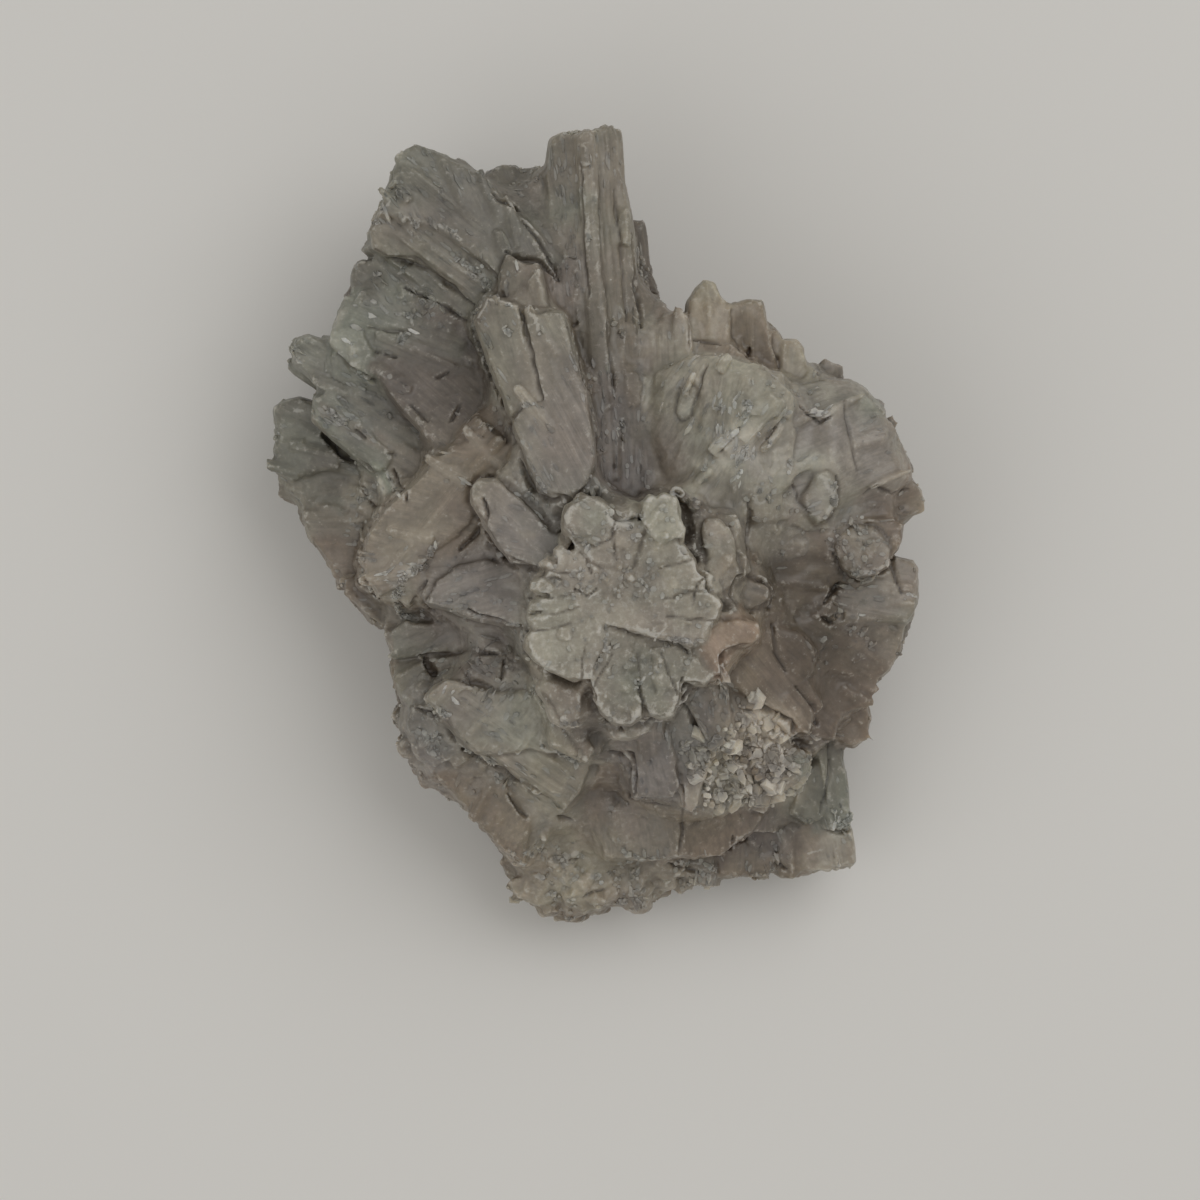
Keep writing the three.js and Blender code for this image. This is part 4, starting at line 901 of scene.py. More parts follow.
def closedIn(points):
    # how much stone there is round each point
    place = (points - gridLow) / openGrid["cell"]
    cell = np.clip(np.floor(place).astype(int), 0, np.array(filledGrid.shape) - 2)
    corners = cellCorners(cell, np.clip(place - cell, 0, 1))
    return sum(filledGrid[where[:, 0], where[:, 1], where[:, 2]] * share for where, share in corners)


# How rough each group is on its faces and its broken ends, how thickly chips lie on it, and its finish.
groups = {
    "fanBack": {"lines": 0.04, "crumbs": 0.08, "chips": 1, "finish": "fluted"},
    "fanLeft": {"lines": 0.04, "crumbs": 0.08, "chips": 1, "finish": "fluted"},
    "backColumns": {"lines": 0.04, "crumbs": 0.06, "chips": 1, "finish": "fluted"},
    "rosette": {"lines": 0.02, "crumbs": 0.06, "chips": 0.25, "finish": "crusted"},
    "rightBlocks": {"lines": 0.01, "crumbs": 0.05, "chips": 0.35, "finish": "milky"},
    "rightLow": {"lines": 0.015, "crumbs": 0.08, "chips": 0.5, "finish": "milky"},
    "front": {"lines": 0.02, "crumbs": 0.1, "chips": 1, "finish": "milky"},
    "base": {"lines": 0.04, "crumbs": 0.14, "chips": 1, "finish": "crusted"},
}
groupNames = list(groups)
voxel = 0.094


def ofGroup(label, group):
    return np.array([row[label] for row in groups.values()])[group]


def nearest(points, warp):
    # for each point the shape it lies on: its group, how far off it is, its own axes and its colour.
    # warp keeps the lines where two crystals meet from running straight.
    count = len(points)
    best, group, crust = np.full(count, 1e9), np.zeros(count, dtype=int), np.zeros(count)
    grain, axis, tint = np.zeros((count, 3)), np.zeros((count, 3)), np.zeros((count, 3))
    moved, margin = points + warp, 1.2
    for name, rows in shapes.items():
        for one in [one for row in rows for one in row]:
            low, high = boxOf(one)
            close = np.flatnonzero(np.all((moved > low - margin) & (moved < high + margin), axis=1))
            gap, place = gapTo(moved[close], one)
            closer = gap < best[close]
            picked, place = close[closer], place[closer]
            best[picked] = gap[closer]
            group[picked] = groupNames.index(name)
            crust[picked] = one.get("crust", 0)
            share, axis[picked] = 0, 0
            if one["kind"] != "lump":
                place = place - warp[picked] @ one["axes"].T
                axis[picked] = one["axes"][2]
            if one["kind"] == "rod":
                share = np.clip(place[:, 2] / one["length"], 0, 1)[:, None] ** 1.5
            elif one["kind"] == "plate":
                share = np.clip(0.5 + place[:, 2] / one["length"], 0, 1)[:, None]
            grain[picked] = place + 7 * uneven(one["seed"])
            tone = 0.95 + 0.1 * uneven(one["seed"] + 5)
            tint[picked] = tone * (one["tint"][0] * (1 - share) + one["tint"][1] * share)
    return group, best, grain, axis, tint, crust


def smoothed(values, edges, passes):
    count, step = len(values), 0.6
    degree = np.bincount(edges.ravel(), minlength=count)
    result = values.copy()
    for _ in range(passes):
        around = np.empty_like(result)
        for k in range(result.shape[1]):
            around[:, k] = np.bincount(edges[:, 0], result[edges[:, 1], k], count)
            around[:, k] += np.bincount(edges[:, 1], result[edges[:, 0], k], count)
        result += step * (around / degree[:, None] - result)
    return result


def placeVertices(mesh, points):
    mesh.vertices.foreach_set("co", (points * millimetre).ravel())
    mesh.update()
    return readArray(mesh.vertex_normals, "vector")


# Stone fills the dips between the crystals, up to sink below what a disc of that reach can't get into.
# Below the crystals it hangs as a bowl that starts at the outline.
filling = {"cell": 0.16, "reach": 1.5, "sink": 0.1, "rough": 0.4, "rim": 0.7, "slope": 1.25, "deepest": 8}


def smeared(values, passes):
    for _ in range(passes):
        for axis in (0, 1):
            values = (values + np.roll(values, 1, axis) + np.roll(values, -1, axis)) / 3
    return values


def pickedRound(values, span, pick):
    # the highest or lowest value in a disc round each place
    steps = range(-span, span + 1)
    disc = [(i, j) for i in steps for j in steps if i * i + j * j <= span * span + 1]
    return pick([np.roll(values, step, (0, 1)) for step in disc], axis=0)


def inward(held):
    # how far each place lies inside the outline
    away, left = np.zeros(held.shape), held.astype(float)
    for _ in range(round(filling["deepest"] / filling["cell"])):
        away += left * filling["cell"]
        left = pickedRound(left, 1, np.min)
    return away


def fillBetween(heightAt):
    # the fill as a closed body, with its top in the dips and a little below the crystals
    cell = filling["cell"]
    ranges = [np.arange(lowCorner[k] - 2, highCorner[k] + 2, cell) for k in (0, 1)]
    spots = np.stack(np.meshgrid(*ranges, indexing="ij"), axis=-1)
    height = np.array([heightAt(*spot) for spot in spots.reshape(-1, 2)]).reshape(spots.shape[:2])
    flat = np.column_stack([spots.reshape(-1, 2), np.zeros(height.size)])
    wavy = (0.5 + 0.8 * cloud(flat, 3.0, 71, 4)).reshape(height.shape)
    span = int(filling["reach"] / cell)
    closing = pickedRound(pickedRound(height, span, np.max), span, np.min)
    top = smeared(closing, 1) - filling["sink"] - filling["rough"] * wavy
    gap = (top > height) & (smeared((height > 0.5).astype(float), 1) > 0.4)
    outside = (height <= 0.5) & ~gap
    shown = np.where(gap, top, height)
    steep = (shown < pickedRound(shown, 1, np.max) - 1) & (smeared(outside.astype(float), 2) > 0)
    held = ~outside & ~steep
    away = inward(held)
    kept = held & ((away > 1.5 * cell) | gap) & (smeared(held.astype(float), 1) > 0.6)
    surface = np.where(gap, top, np.where(held, height - 0.1, 99))
    top = np.where(gap, top, pickedRound(surface, 1, np.min))
    bottom = np.maximum(top - filling["rim"] - filling["slope"] * away * (0.7 + 0.5 * wavy), 0)
    number = np.full(height.shape, -1)
    number[kept] = np.arange(kept.sum())
    upper = np.column_stack([spots[kept], top[kept]])
    lower = np.column_stack([spots[kept], np.minimum(bottom[kept], top[kept] - 0.2)])
    turns = ((0, 0), (-1, 0), (-1, -1), (0, -1))
    quads = np.stack([np.roll(number, turn, (0, 1)) for turn in turns], axis=-1)
    quads = quads[np.all(quads >= 0, axis=-1)]
    edges = {(a, b) for k in range(4) for a, b in quads[:, [k, (k + 1) % 4]].tolist()}
    rim = sorted((a, b) for a, b in edges if (b, a) not in edges)
    count = len(upper)
    faces = quads.tolist() + (quads[:, ::-1] + count).tolist()
    faces += [(b, a, a + count, b + count) for a, b in rim]
    return np.maximum(np.concatenate([upper, lower]), (-99, -99, 0)), faces


def grownMesh():
    # every shape as a closed mesh, with the stone between them, all fused into one
    points, faces = joined()
    more, moreFaces = fillBetween(rayHeights(points, faces))
    faces += [tuple(len(points) + corner for corner in face) for face in moreFaces]
    rough = bpy.data.meshes.new("cluster")
    rough.from_pydata((np.concatenate([points, more]) * millimetre).tolist(), [], faces)
    holder = added("rough", rough)
    fuse = holder.modifiers.new("fuse", "REMESH")
    fuse.mode = "VOXEL"
    fuse.voxel_size = voxel * millimetre
    fuse.adaptivity = 0
    mesh = bpy.data.meshes.new_from_object(holder.evaluated_get(bpy.context.evaluated_depsgraph_get()))
    bpy.data.objects.remove(holder)
    bpy.data.meshes.remove(rough)
    return mesh


def addAttributes(mesh, values):
    # numbers, directions and colours that the material reads at each vertex
    kinds = {1: ("FLOAT", "value"), 3: ("FLOAT_VECTOR", "vector"), 4: ("FLOAT_COLOR", "color")}
    for name, value in values.items():
        kind, field = kinds[value.size // len(value)]
        made = mesh.attributes.new(name, kind, "POINT")
        made.data.foreach_set(field, value.astype(np.float32).ravel())


def opaque(colours):
    return np.column_stack([colours, np.ones(len(colours))])


def sunken(points):
    # how far each point lies below the stone around it, up to 1
    cell, passes = 0.2, 14
    where = ((points[:, :2] - points.min(axis=0)[:2]) / cell).astype(int)
    height = np.zeros(where.max(axis=0) + 2)
    np.maximum.at(height, (where[:, 0], where[:, 1]), points[:, 2])
    level = smeared(height, passes) / np.maximum(smeared((height > 0).astype(float), passes), 0.05)
    return np.clip((level[where[:, 0], where[:, 1]] - points[:, 2] - 0.1) / 1.6, 0, 1)


def nearPlan(points, chosen, low, high):
    return np.flatnonzero(chosen & np.all((points[:, :2] > low) & (points[:, :2] < high), axis=1))


def moatMarks(points, exposed):
    # the gap cut around some of the faces, which is also painted dark as shade, and a painted highlight
    # line just inside their edges
    gap, deep = np.full(len(points), 9.0), np.zeros(len(points))
    for one in [one for one in everyShape() if one.get("moat")]:
        beside = exposed & (points[:, 2] > one["root"][2] - 2.4)
        near = nearPlan(points, beside, one["rim"].min(axis=0) - 1, one["rim"].max(axis=0) + 1)
        own = rimGap(points[near] + 0.05 * valueNoise(points[near] * 3, 85)[:, None], one["rim"])
        closer = own < gap[near]
        gap[near[closer]] = own[closer]
        deep[near[closer]] = one["moat"]
    wide = 0.08 + 0.14 * deep
    outside = np.exp(-(((gap - wide) / wide) ** 2)) * (gap > 0)
    rim = np.exp(-(((gap + 0.12) / 0.14) ** 2)) * (gap < 0)
    return deep * outside, outside * (deep > 0), rim * (deep > 0.3)


# Rounded places with few edges: place in plan, how wide, and how much is smoothed away.
softSpots = [
    (10.6, 3.2, 3, 0.9), (8.4, 0.8, 1.4, 0.6), (8.4, -5.6, 2.4, 0.7), (11, -4.6, 2, 0.6), (3, 4, 1.6, 0.8),
    (-1.9, 2.4, 1.4, 0.7), (-5.2, -3, 1.8, 0.7), (-4, -8, 1.8, 0.5), (2, -12.8, 1.6, 0.6),
    (7.6, -1.2, 1.6, 0.5), (-12.4, 1, 1.6, 0.4), (-6, 13.2, 2, 0.5), (-6.8, 1, 1.8, 0.5),
    (0.5, 4.5, 1.6, 0.4), (13.7, 0.5, 0.9, 0.95), (11.8, -9, 0.8, 0.95),
]


def softened(points, edges):
    # the rounded crystals, which have few edges
    share = np.zeros(len(points))
    for x, y, wide, much in softSpots:
        share = np.maximum(share, much * spotWeight(points, x, y, wide))
    return points + share[:, None] * (smoothed(points, edges, 40) - points)


def spotWeight(points, x, y, wide):
    # 1 in the middle of a round spot, and falling steeply at its edge
    return np.exp(-(((points[:, 0] - x) ** 2 + (points[:, 1] - y) ** 2) / wide**2) ** 2)


# Broad patches where the stone takes another colour: place in plan, how wide, tint and how strongly. The
# small chalk spots on the dome lie where bright splinters gather, and are partly painted highlight.
patches = [
    (-7.4, 14.6, 1.6, "moss", 0.5), (-6.2, 12.9, 2.4, "umber", 0.8), (-3.4, 11.4, 1.5, "umber", 0.6),
    (-8, 12.4, 1.2, "khaki", 0.5), (-5.9, 10.9, 1.1, "khaki", 0.4), (-8.8, 9, 1.3, "lichen", 0.4),
    (-6.4, 8.4, 1.4, "umber", 0.6), (-8.2, 6.6, 1.6, "umber", 0.5), (-6.6, 5.4, 1.6, "umber", 0.7),
    (-9.9, 7.9, 1.1, "fern", 0.6), (-12, 6.8, 1.3, "fern", 0.6), (-10.2, 5.2, 1.3, "moss", 0.5),
    (-11, 4.4, 0.9, "lichen", 0.5), (-12.8, 3.2, 1.4, "moss", 0.5), (-11.2, 2.6, 1.2, "umber", 0.4),
    (-12, 0.6, 1.4, "taupe", 0.5), (-10.4, -1.2, 1.4, "cocoa", 0.4), (-7.6, 3.4, 1.2, "taupe", 0.5),
    (-5.6, 3, 1.4, "cocoa", 0.5), (-7.2, -0.2, 1.6, "sand", 0.6), (-8.3, -2.4, 1, "bone", 0.7),
    (-4, 14.4, 1.2, "umber", 0.6), (-1.8, 13.3, 0.8, "lichen", 0.7), (-1.2, 14.6, 1.2, "khaki", 0.4),
    (0.5, 12.4, 1.2, "khaki", 0.5), (0.2, 9.4, 1.5, "umber", 0.4), (0.4, 5.6, 1.6, "dusk", 0.6),
    (0.6, 3, 1.2, "dusk", 0.7), (2, 9.2, 1.1, "bark", 0.7), (-3.6, 7, 1.2, "khaki", 0.5),
    (-1.9, 2.6, 1.4, "mauve", 0.5), (-3.4, 10.2, 0.8, "taupe", 0.5), (-4.3, -0.2, 1.2, "violet", 0.5),
    (-0.7, -0.1, 1, "lichen", 0.5), (0.8, -6.6, 1.4, "lichen", 0.5), (2.4, -6.6, 1, "lichen", 0.4),
    (-2.6, -3.4, 1.2, "pearl", 0.7), (-1.8, -5.2, 1.1, "pearl", 0.5), (2.3, 0.2, 0.9, "pearl", 0.8),
    (1.2, -2.6, 1.6, "khaki", 0.5), (-5, -3, 1.4, "mauve", 0.5), (-7.4, -4.6, 1.4, "taupe", 0.6),
    (-5.4, -5, 1.2, "taupe", 0.6), (3, 7.6, 1.1, "bone", 0.6), (4.4, 9.4, 0.9, "honey", 0.8),
    (6.1, 8.6, 0.9, "amber", 0.7), (7, 7.2, 0.8, "cocoa", 0.7), (8.1, 7.2, 0.7, "honey", 0.5),
    (2.6, 4.6, 1.2, "khaki", 0.5), (2.9, 2.8, 1.2, "taupe", 0.6), (4.9, 5.4, 1.4, "pearl", 0.5),
    (5.4, 3.2, 1.3, "chalk", 0.3), (5.3, 3.6, 0.45, "chalk", 0.8), (5.9, 2.8, 0.35, "chalk", 0.7),
    (4.9, 2.6, 0.3, "chalk", 0.6), (5, 4.7, 0.35, "chalk", 0.5), (4.2, 2.5, 0.25, "chalk", 0.6),
    (7.1, 4, 0.3, "chalk", 0.5), (3.4, 5.2, 0.5, "frost", 0.8), (9.1, 4.7, 0.4, "chalk", 0.9),
    (6.6, 2.4, 1, "frost", 0.5), (8.6, 2.4, 0.7, "frost", 0.5), (3.9, 3.6, 0.5, "frost", 0.4),
    (9.2, 2.2, 0.5, "chalk", 0.3), (6.6, 4.9, 1.1, "khaki", 0.5), (5.4, 1.2, 1.1, "umber", 0.5),
    (7.6, 3.2, 1, "pearl", 0.6), (9.4, 4.4, 1.8, "mauve", 0.8), (11.4, 3.6, 1.8, "mauve", 0.8),
    (11.2, 5.2, 0.9, "lichen", 0.6), (9.2, 1.2, 0.9, "pearl", 0.5), (12.2, 2.2, 1.2, "taupe", 0.5),
    (13, 0.8, 1, "cocoa", 0.6), (11.4, 0.4, 1.1, "bark", 0.5), (8.2, -0.6, 1.5, "taupe", 0.5),
    (7.2, -2.3, 1.5, "peat", 0.9), (10.8, -1.2, 0.9, "sand", 0.7), (9.6, -2.8, 1.3, "peat", 0.7),
    (12.4, -2.8, 1.1, "taupe", 0.6), (12.8, -4.4, 0.9, "lichen", 0.4), (9.4, -5.2, 1.6, "peat", 0.7),
    (8.4, -5.6, 1.8, "peat", 0.8), (6.4, -5.4, 1.3, "cocoa", 0.5), (9.2, -7.4, 1.5, "peat", 0.8),
    (7.4, -6.6, 1.2, "bark", 0.6), (10.8, -8.2, 1, "cocoa", 0.5), (5.2, -4.8, 0.9, "rust", 0.6),
    (-1.6, -7, 1, "sand", 0.5), (-3.9, -8.1, 2, "pearl", 0.9), (-6.6, -8.6, 1.2, "violet", 0.5),
    (-2.4, -10.2, 1.2, "honey", 0.5), (-4.6, -11.6, 1.6, "cocoa", 0.5), (-1, -14.3, 2.2, "honey", 0.7),
    (0.6, -11.6, 1.2, "dusk", 0.6), (2, -9.8, 1.2, "violet", 0.5), (4, -8.6, 1, "violet", 0.5),
    (2, -12.8, 1.2, "taupe", 0.6), (4.6, -13, 1.4, "cocoa", 0.5), (7.2, -13, 1.3, "dusk", 0.7),
    (10.4, -13.6, 0.9, "bone", 0.6), (9.4, -10.8, 1.1, "moss", 0.6), (9, -8, 1.1, "bark", 0.6),
    (6.4, -9.6, 2.2, "cocoa", 0.9), (7, -8.5, 0.9, "cream", 0.8), (4.9, -10.1, 0.7, "cream", 0.7),
    (7.8, -11.2, 0.6, "cream", 0.7), (8.5, -9.9, 0.5, "lichen", 0.8), (5.6, -10.5, 0.5, "honey", 0.7),
    (6.5, -9.5, 0.5, "bark", 0.8), (4.2, -11.2, 0.6, "pearl", 0.6), (10.6, -12.6, 0.6, "frost", 0.7),
    (-3.7, -8, 1.3, "frost", 0.5), (-1.6, -14.9, 1.4, "honey", 0.6), (11.2, -4.4, 1.2, "taupe", 0.6),
    (-5.5, -4.4, 1.4, "mauve", 0.8), (-1.7, 3.4, 1.2, "taupe", 0.8),
]


def patched(points, tint):
    place = points[:, :2] + 0.5 * np.column_stack([cloud(points, 1.6, seed, 2) for seed in (91, 95)])
    for x, y, wide, name, share in patches:
        weight = share * np.exp(-np.sum((place - (x, y)) ** 2, axis=1) / wide**2)[:, None]
        tint = tint * (1 - weight) + stoneColour(name) * weight
    return tint


# Clefts and light crests that show from above. A cleft is cut in and also painted darker as shade; a crest
# stands a little out and is painted lighter as a highlight. For each width and depth (or height), x, y of
# one place after the other that each one runs through.
clefts = {
    (0.15, 0.3): [[-5.3, 11, -4.8, 10.6, -4.4, 10.2]],
    (0.18, 0.4): [[-9.6, 11.5, -9, 11.1, -7.8, 11, -7.2, 10.6, -6.2, 9.8, -5.4, 9.1],
        [-5.5, 8.2, -5.1, 7.2, -4.7, 6, -4.2, 4.7]],
    (0.16, 0.4): [[-8.3, 9.9, -7.4, 9.5, -6.6, 9.1, -5.9, 8.6, -5.2, 8.3],
        [-4.6, 13.8, -4.1, 13.4, -3.4, 13.1], [-1.8, 10.1, -2.3, 11.2, -2.7, 11.9, -3.3, 12.6],
        [1.35, 12.2, 1.45, 10, 1.65, 8.2], [6.2, 7.4, 6.1, 6.9, 6.6, 6.5, 7, 6.3],
        [-10.2, -2, -9.6, -2.9, -8.9, -3.4], [-4.1, -5.7, -4.1, -6.2, -4.3, -6.5],
        [-5.8, -9.4, -4.9, -9.95, -4.1, -10.2, -3.6, -10.7, -2.8, -11.1, -2.2, -11.5],
        [9.9, -12.9, 10.4, -13, 10.9, -12.9]],
    (0.12, 0.3): [[-9.4, 7.2, -8.6, 7], [-8, 5, -7.3, 4.3], [-6.3, 4.3, -5.9, 5], [-6.9, 6.1, -6.4, 6.4],
        [-10.3, 3.9, -9.9, 3.6], [-8.9, 3, -8.6, 2.9], [7.2, 7.9, 7.4, 6.9, 7.5, 6.2],
        [-7.4, -2.4, -8, -3.4], [-5.9, -6, -5.5, -6.6, -4.6, -6.8], [-1.2, -14.2, -0.8, -14.15],
        [1.3, -11.5, 1.9, -11.7, 2.9, -11.8], [3, -14.3, 4, -14.6, 5, -14.9]],
    (0.1, 0.2): [[-9.7, 8.2, -8.8, 8.1, -8, 8.1], [-0.95, 15, -0.85, 12, -0.6, 9.5],
        [9.85, -9.3, 9.85, -10.5, 9.6, -11.7, 9.5, -12.2]],
    (0.14, 0.35): [[-11.1, 7.1, -10.6, 6.6, -10.1, 6.2, -9.5, 6], [-1.6, 8, -1.1, 8.4],
        [-7.9, -7.6, -7.2, -7.9, -6.6, -8.3, -6.1, -9.1], [-3.9, -11.3, -3.5, -11.8, -3.1, -12.3],
        [7.7, -14.3, 8.1, -14.6], [8.1, -6.8, 8.9, -7.6, 9.1, -8.4]],
    (0.25, 0.6): [[-11.6, 3.9, -10.8, 3, -10.2, 2.6, -9.5, 2.2]],
    (0.12, 0.4): [[-10.1, 2, -10, 1.3, -9.5, 0.8, -8.9, 0.8], [-8.7, 2.3, -8.3, 1.4, -8.2, 0.9]],
    (0.12, 0.35): [[-3.55, 8.9, -3.32, 7.8, -3, 6.35, -2.7, 5.05]],
    (0.2, 0.5): [[-1.5, 8.2, -1.3, 7.2, -0.9, 5.8, -0.5, 4.2, -0.35, 3.2, -0.4, 2.2, -0.8, 1.4],
        [-0.8, 1.4, -1.4, 0.9, -2.6, 1, -3.2, 1.6, -3.6, 2.6], [-5.1, 1, -4.9, 0.4, -5.3, -0.4, -6, -1.1],
        [-7.4, -5.6, -6.9, -6.3],
        [6.2, -7.4, 7, -7.9, 7.9, -8.2, 8.2, -9.1, 8.9, -9.4, 9.1, -9.9, 8.9, -10.5],
        [6.7, -11.9, 7.2, -11.6]],
    (0.15, 0.4): [[-5, 9.7, -4.2, 9.5, -3.6, 9], [-4.1, 11.3, -3.4, 11, -2.6, 10.9, -1.9, 10.1],
        [4.2, -9.8, 4.8, -9.9]],
    (0.12, 0.25): [[-0.15, 14.5, -0.05, 11.5, 0.2, 8.5, 0.4, 5.5], [3.7, 7.7, 4.6, 7.6, 4.9, 7.5],
        [3.6, 9, 3.68, 8.2, 3.6, 7.4], [7.9, 1.7, 8.1, 0.9, 8.5, 0.4], [9.7, 2, 9.9, 1, 9.6, 0.2],
        [12.2, -1.5, 12.4, -2.3, 12.7, -2.9]],
    (0.1, 0.18): [[0.5, 14, 0.8, 11, 1, 8.5]],
    (0.12, 0.2): [[5.45, 9, 5.5, 8, 5.8, 7.3], [0.2, 0.2, 0.15, -0.7, 0.3, -1.6],
        [3.6, -0.3, 3.8, -1.4, 4.1, -2.4, 4.4, -3], [3.4, -12, 3.5, -12.8, 3.4, -13.9],
        [7.1, -4.2, 7.2, -5.4, 7.7, -6.2]],
    (0.14, 0.4): [[8.2, 4.9, 8.6, 4.5, 9, 4.2, 9.5, 4.4], [3.1, -10, 3.3, -10.9, 3.35, -11.9]],
    (0.1, 0.3): [[6.7, 3.5, 7.2, 4.1, 7.6, 4.6], [4.8, 2.9, 5.3, 3.5, 5.5, 3.9],
        [0, -4.4, 1.2, -4.65, 1.9, -4.85, 2.9, -5.1, 3.5, -5.5], [-2.9, -2.25, -2, -2.4],
        [-3.3, -3.1, -2.3, -3.1], [-3.2, -3.8, -2.3, -3.75], [-3.2, -4.45, -2.5, -4.4],
        [4.1, -2.2, 3.6, -2.6, 3.5, -3.4]],
    (0.1, 0.25): [[3.1, 5.6, 2.95, 4.6, 3.2, 4.25, 3.6, 4.5, 3.8, 5.2, 4, 6.1, 4.2, 6.6],
        [-0.9, -1.5, -0.7, -2.1], [-1.4, -2.8, -0.9, -3.05, -0.5, -2.8]],
    (0.14, 0.3): [[10.9, 1.2, 11.4, 1.6, 12.2, 1.3, 12.9, 1.5]],
    (0.1, 0.15): [[10, 5.2, 10.3, 3.6, 10.6, 2.2]],
    (0.16, 0.5): [[9.6, -1.2, 10, -2, 10.7, -2.35, 11.5, -2.2, 12.1, -1.8], [9.3, -3.3, 10, -2.5],
        [0.2, 0.2, 0.7, 0.1, 1.2, 0.3, 1.3, 1], [5.2, -13.9, 5.7, -13.7, 5.75, -13.2],
        [5.9, -13.6, 6.4, -13.3]],
    (0.14, 0.25): [[6.1, -2, 5.9, -1.2, 6, 0.2, 6, 0.9]],
    (0.2, 0.6): [[5.1, -3, 5.5, -2.3, 6.2, -2.15, 6.9, -2.5, 7.1, -3, 6.8, -3.5, 6, -3.7]],
    (0.18, 0.6): [[-2, 0, -1.9, 0.6, -1.4, 1, -0.8, 1.15, -0.1, 0.9]],
    (0.1, 0.14): [[-2.7, -3.8, -2, -3.75, -1.2, -3.5], [-2.5, -3.05, -1.8, -3.1, -1.1, -2.8],
        [-2.5, -2, -1.9, -2.15, -1.2, -2.1], [-1.3, -1.2, -0.9, -1.5, -0.2, -2],
        [-3.3, -4.4, -2.4, -4.4, -1.6, -4.2]],
    (0.12, 0.16): [[1.5, -0.2, 1.35, -1, 1, -1.9], [3.6, -1.5, 2.8, -1.8, 2, -1.9],
        [4.1, -2.8, 3.2, -2.9, 2.2, -3.2]],
    (0.1, 0.16): [[4.5, -4.1, 3.4, -4, 2.4, -3.9], [-0.7, -7, -0.3, -6.2, 0.2, -5.4],
        [2.9, -7.1, 2.5, -6.2, 2.2, -5.4], [-1.1, -6.5, -1.1, -5.8, -0.9, -5],
        [-1.75, -0.35, -1.3, -0.85, -0.6, -1.05, 0.1, -0.75, 0.35, -0.2]],
    (0.1, 0.12): [[1.4, -7.4, 1.35, -6.4, 1.2, -5.4]],
    (0.12, 0.45): [[1.55, -8, 1.4, -7.2, 1.2, -6.6]],
    (0.14, 0.45): [[-0.5, -7.8, -0.6, -7.2, -0.85, -6.6], [2.9, -7.6, 3.1, -6.9, 3, -6.4]],
    (0.14, 0.6): [[4.65, -6.3, 4.7, -5.6, 4.9, -5.35, 5.4, -5.2, 6, -5.1]],
    (0.25, 1): [[3, -1.1, 3.4, -1.2]],
    (0.18, 0.5): [[-4.9, -0.8, -4.4, -1.3, -3.8, -1.7, -2.6, -1.95],
        [-7.6, -5.5, -6.6, -5.5, -5.8, -5.3, -4.4, -5.4], [0.4, -9.5, 1.2, -9.7, 1.3, -10.6, 1.3, -11.4],
        [9.2, -3.9, 9.7, -4.2]],
    (0.16, 0.45): [[-5.7, -3.6, -5.2, -3.9, -4.4, -4.1, -3.4, -4.35]],
    (0.2, 0.4): [[-1.7, -12.3, -1.1, -12.5]],
    (0.15, 0.35): [[-0.5, -15.8, -0.1, -15.5, 0.4, -15.4]],
    (0.14, 0.5): [[3.3, -7.5, 3.8, -8.5, 4.4, -9.4]],
}
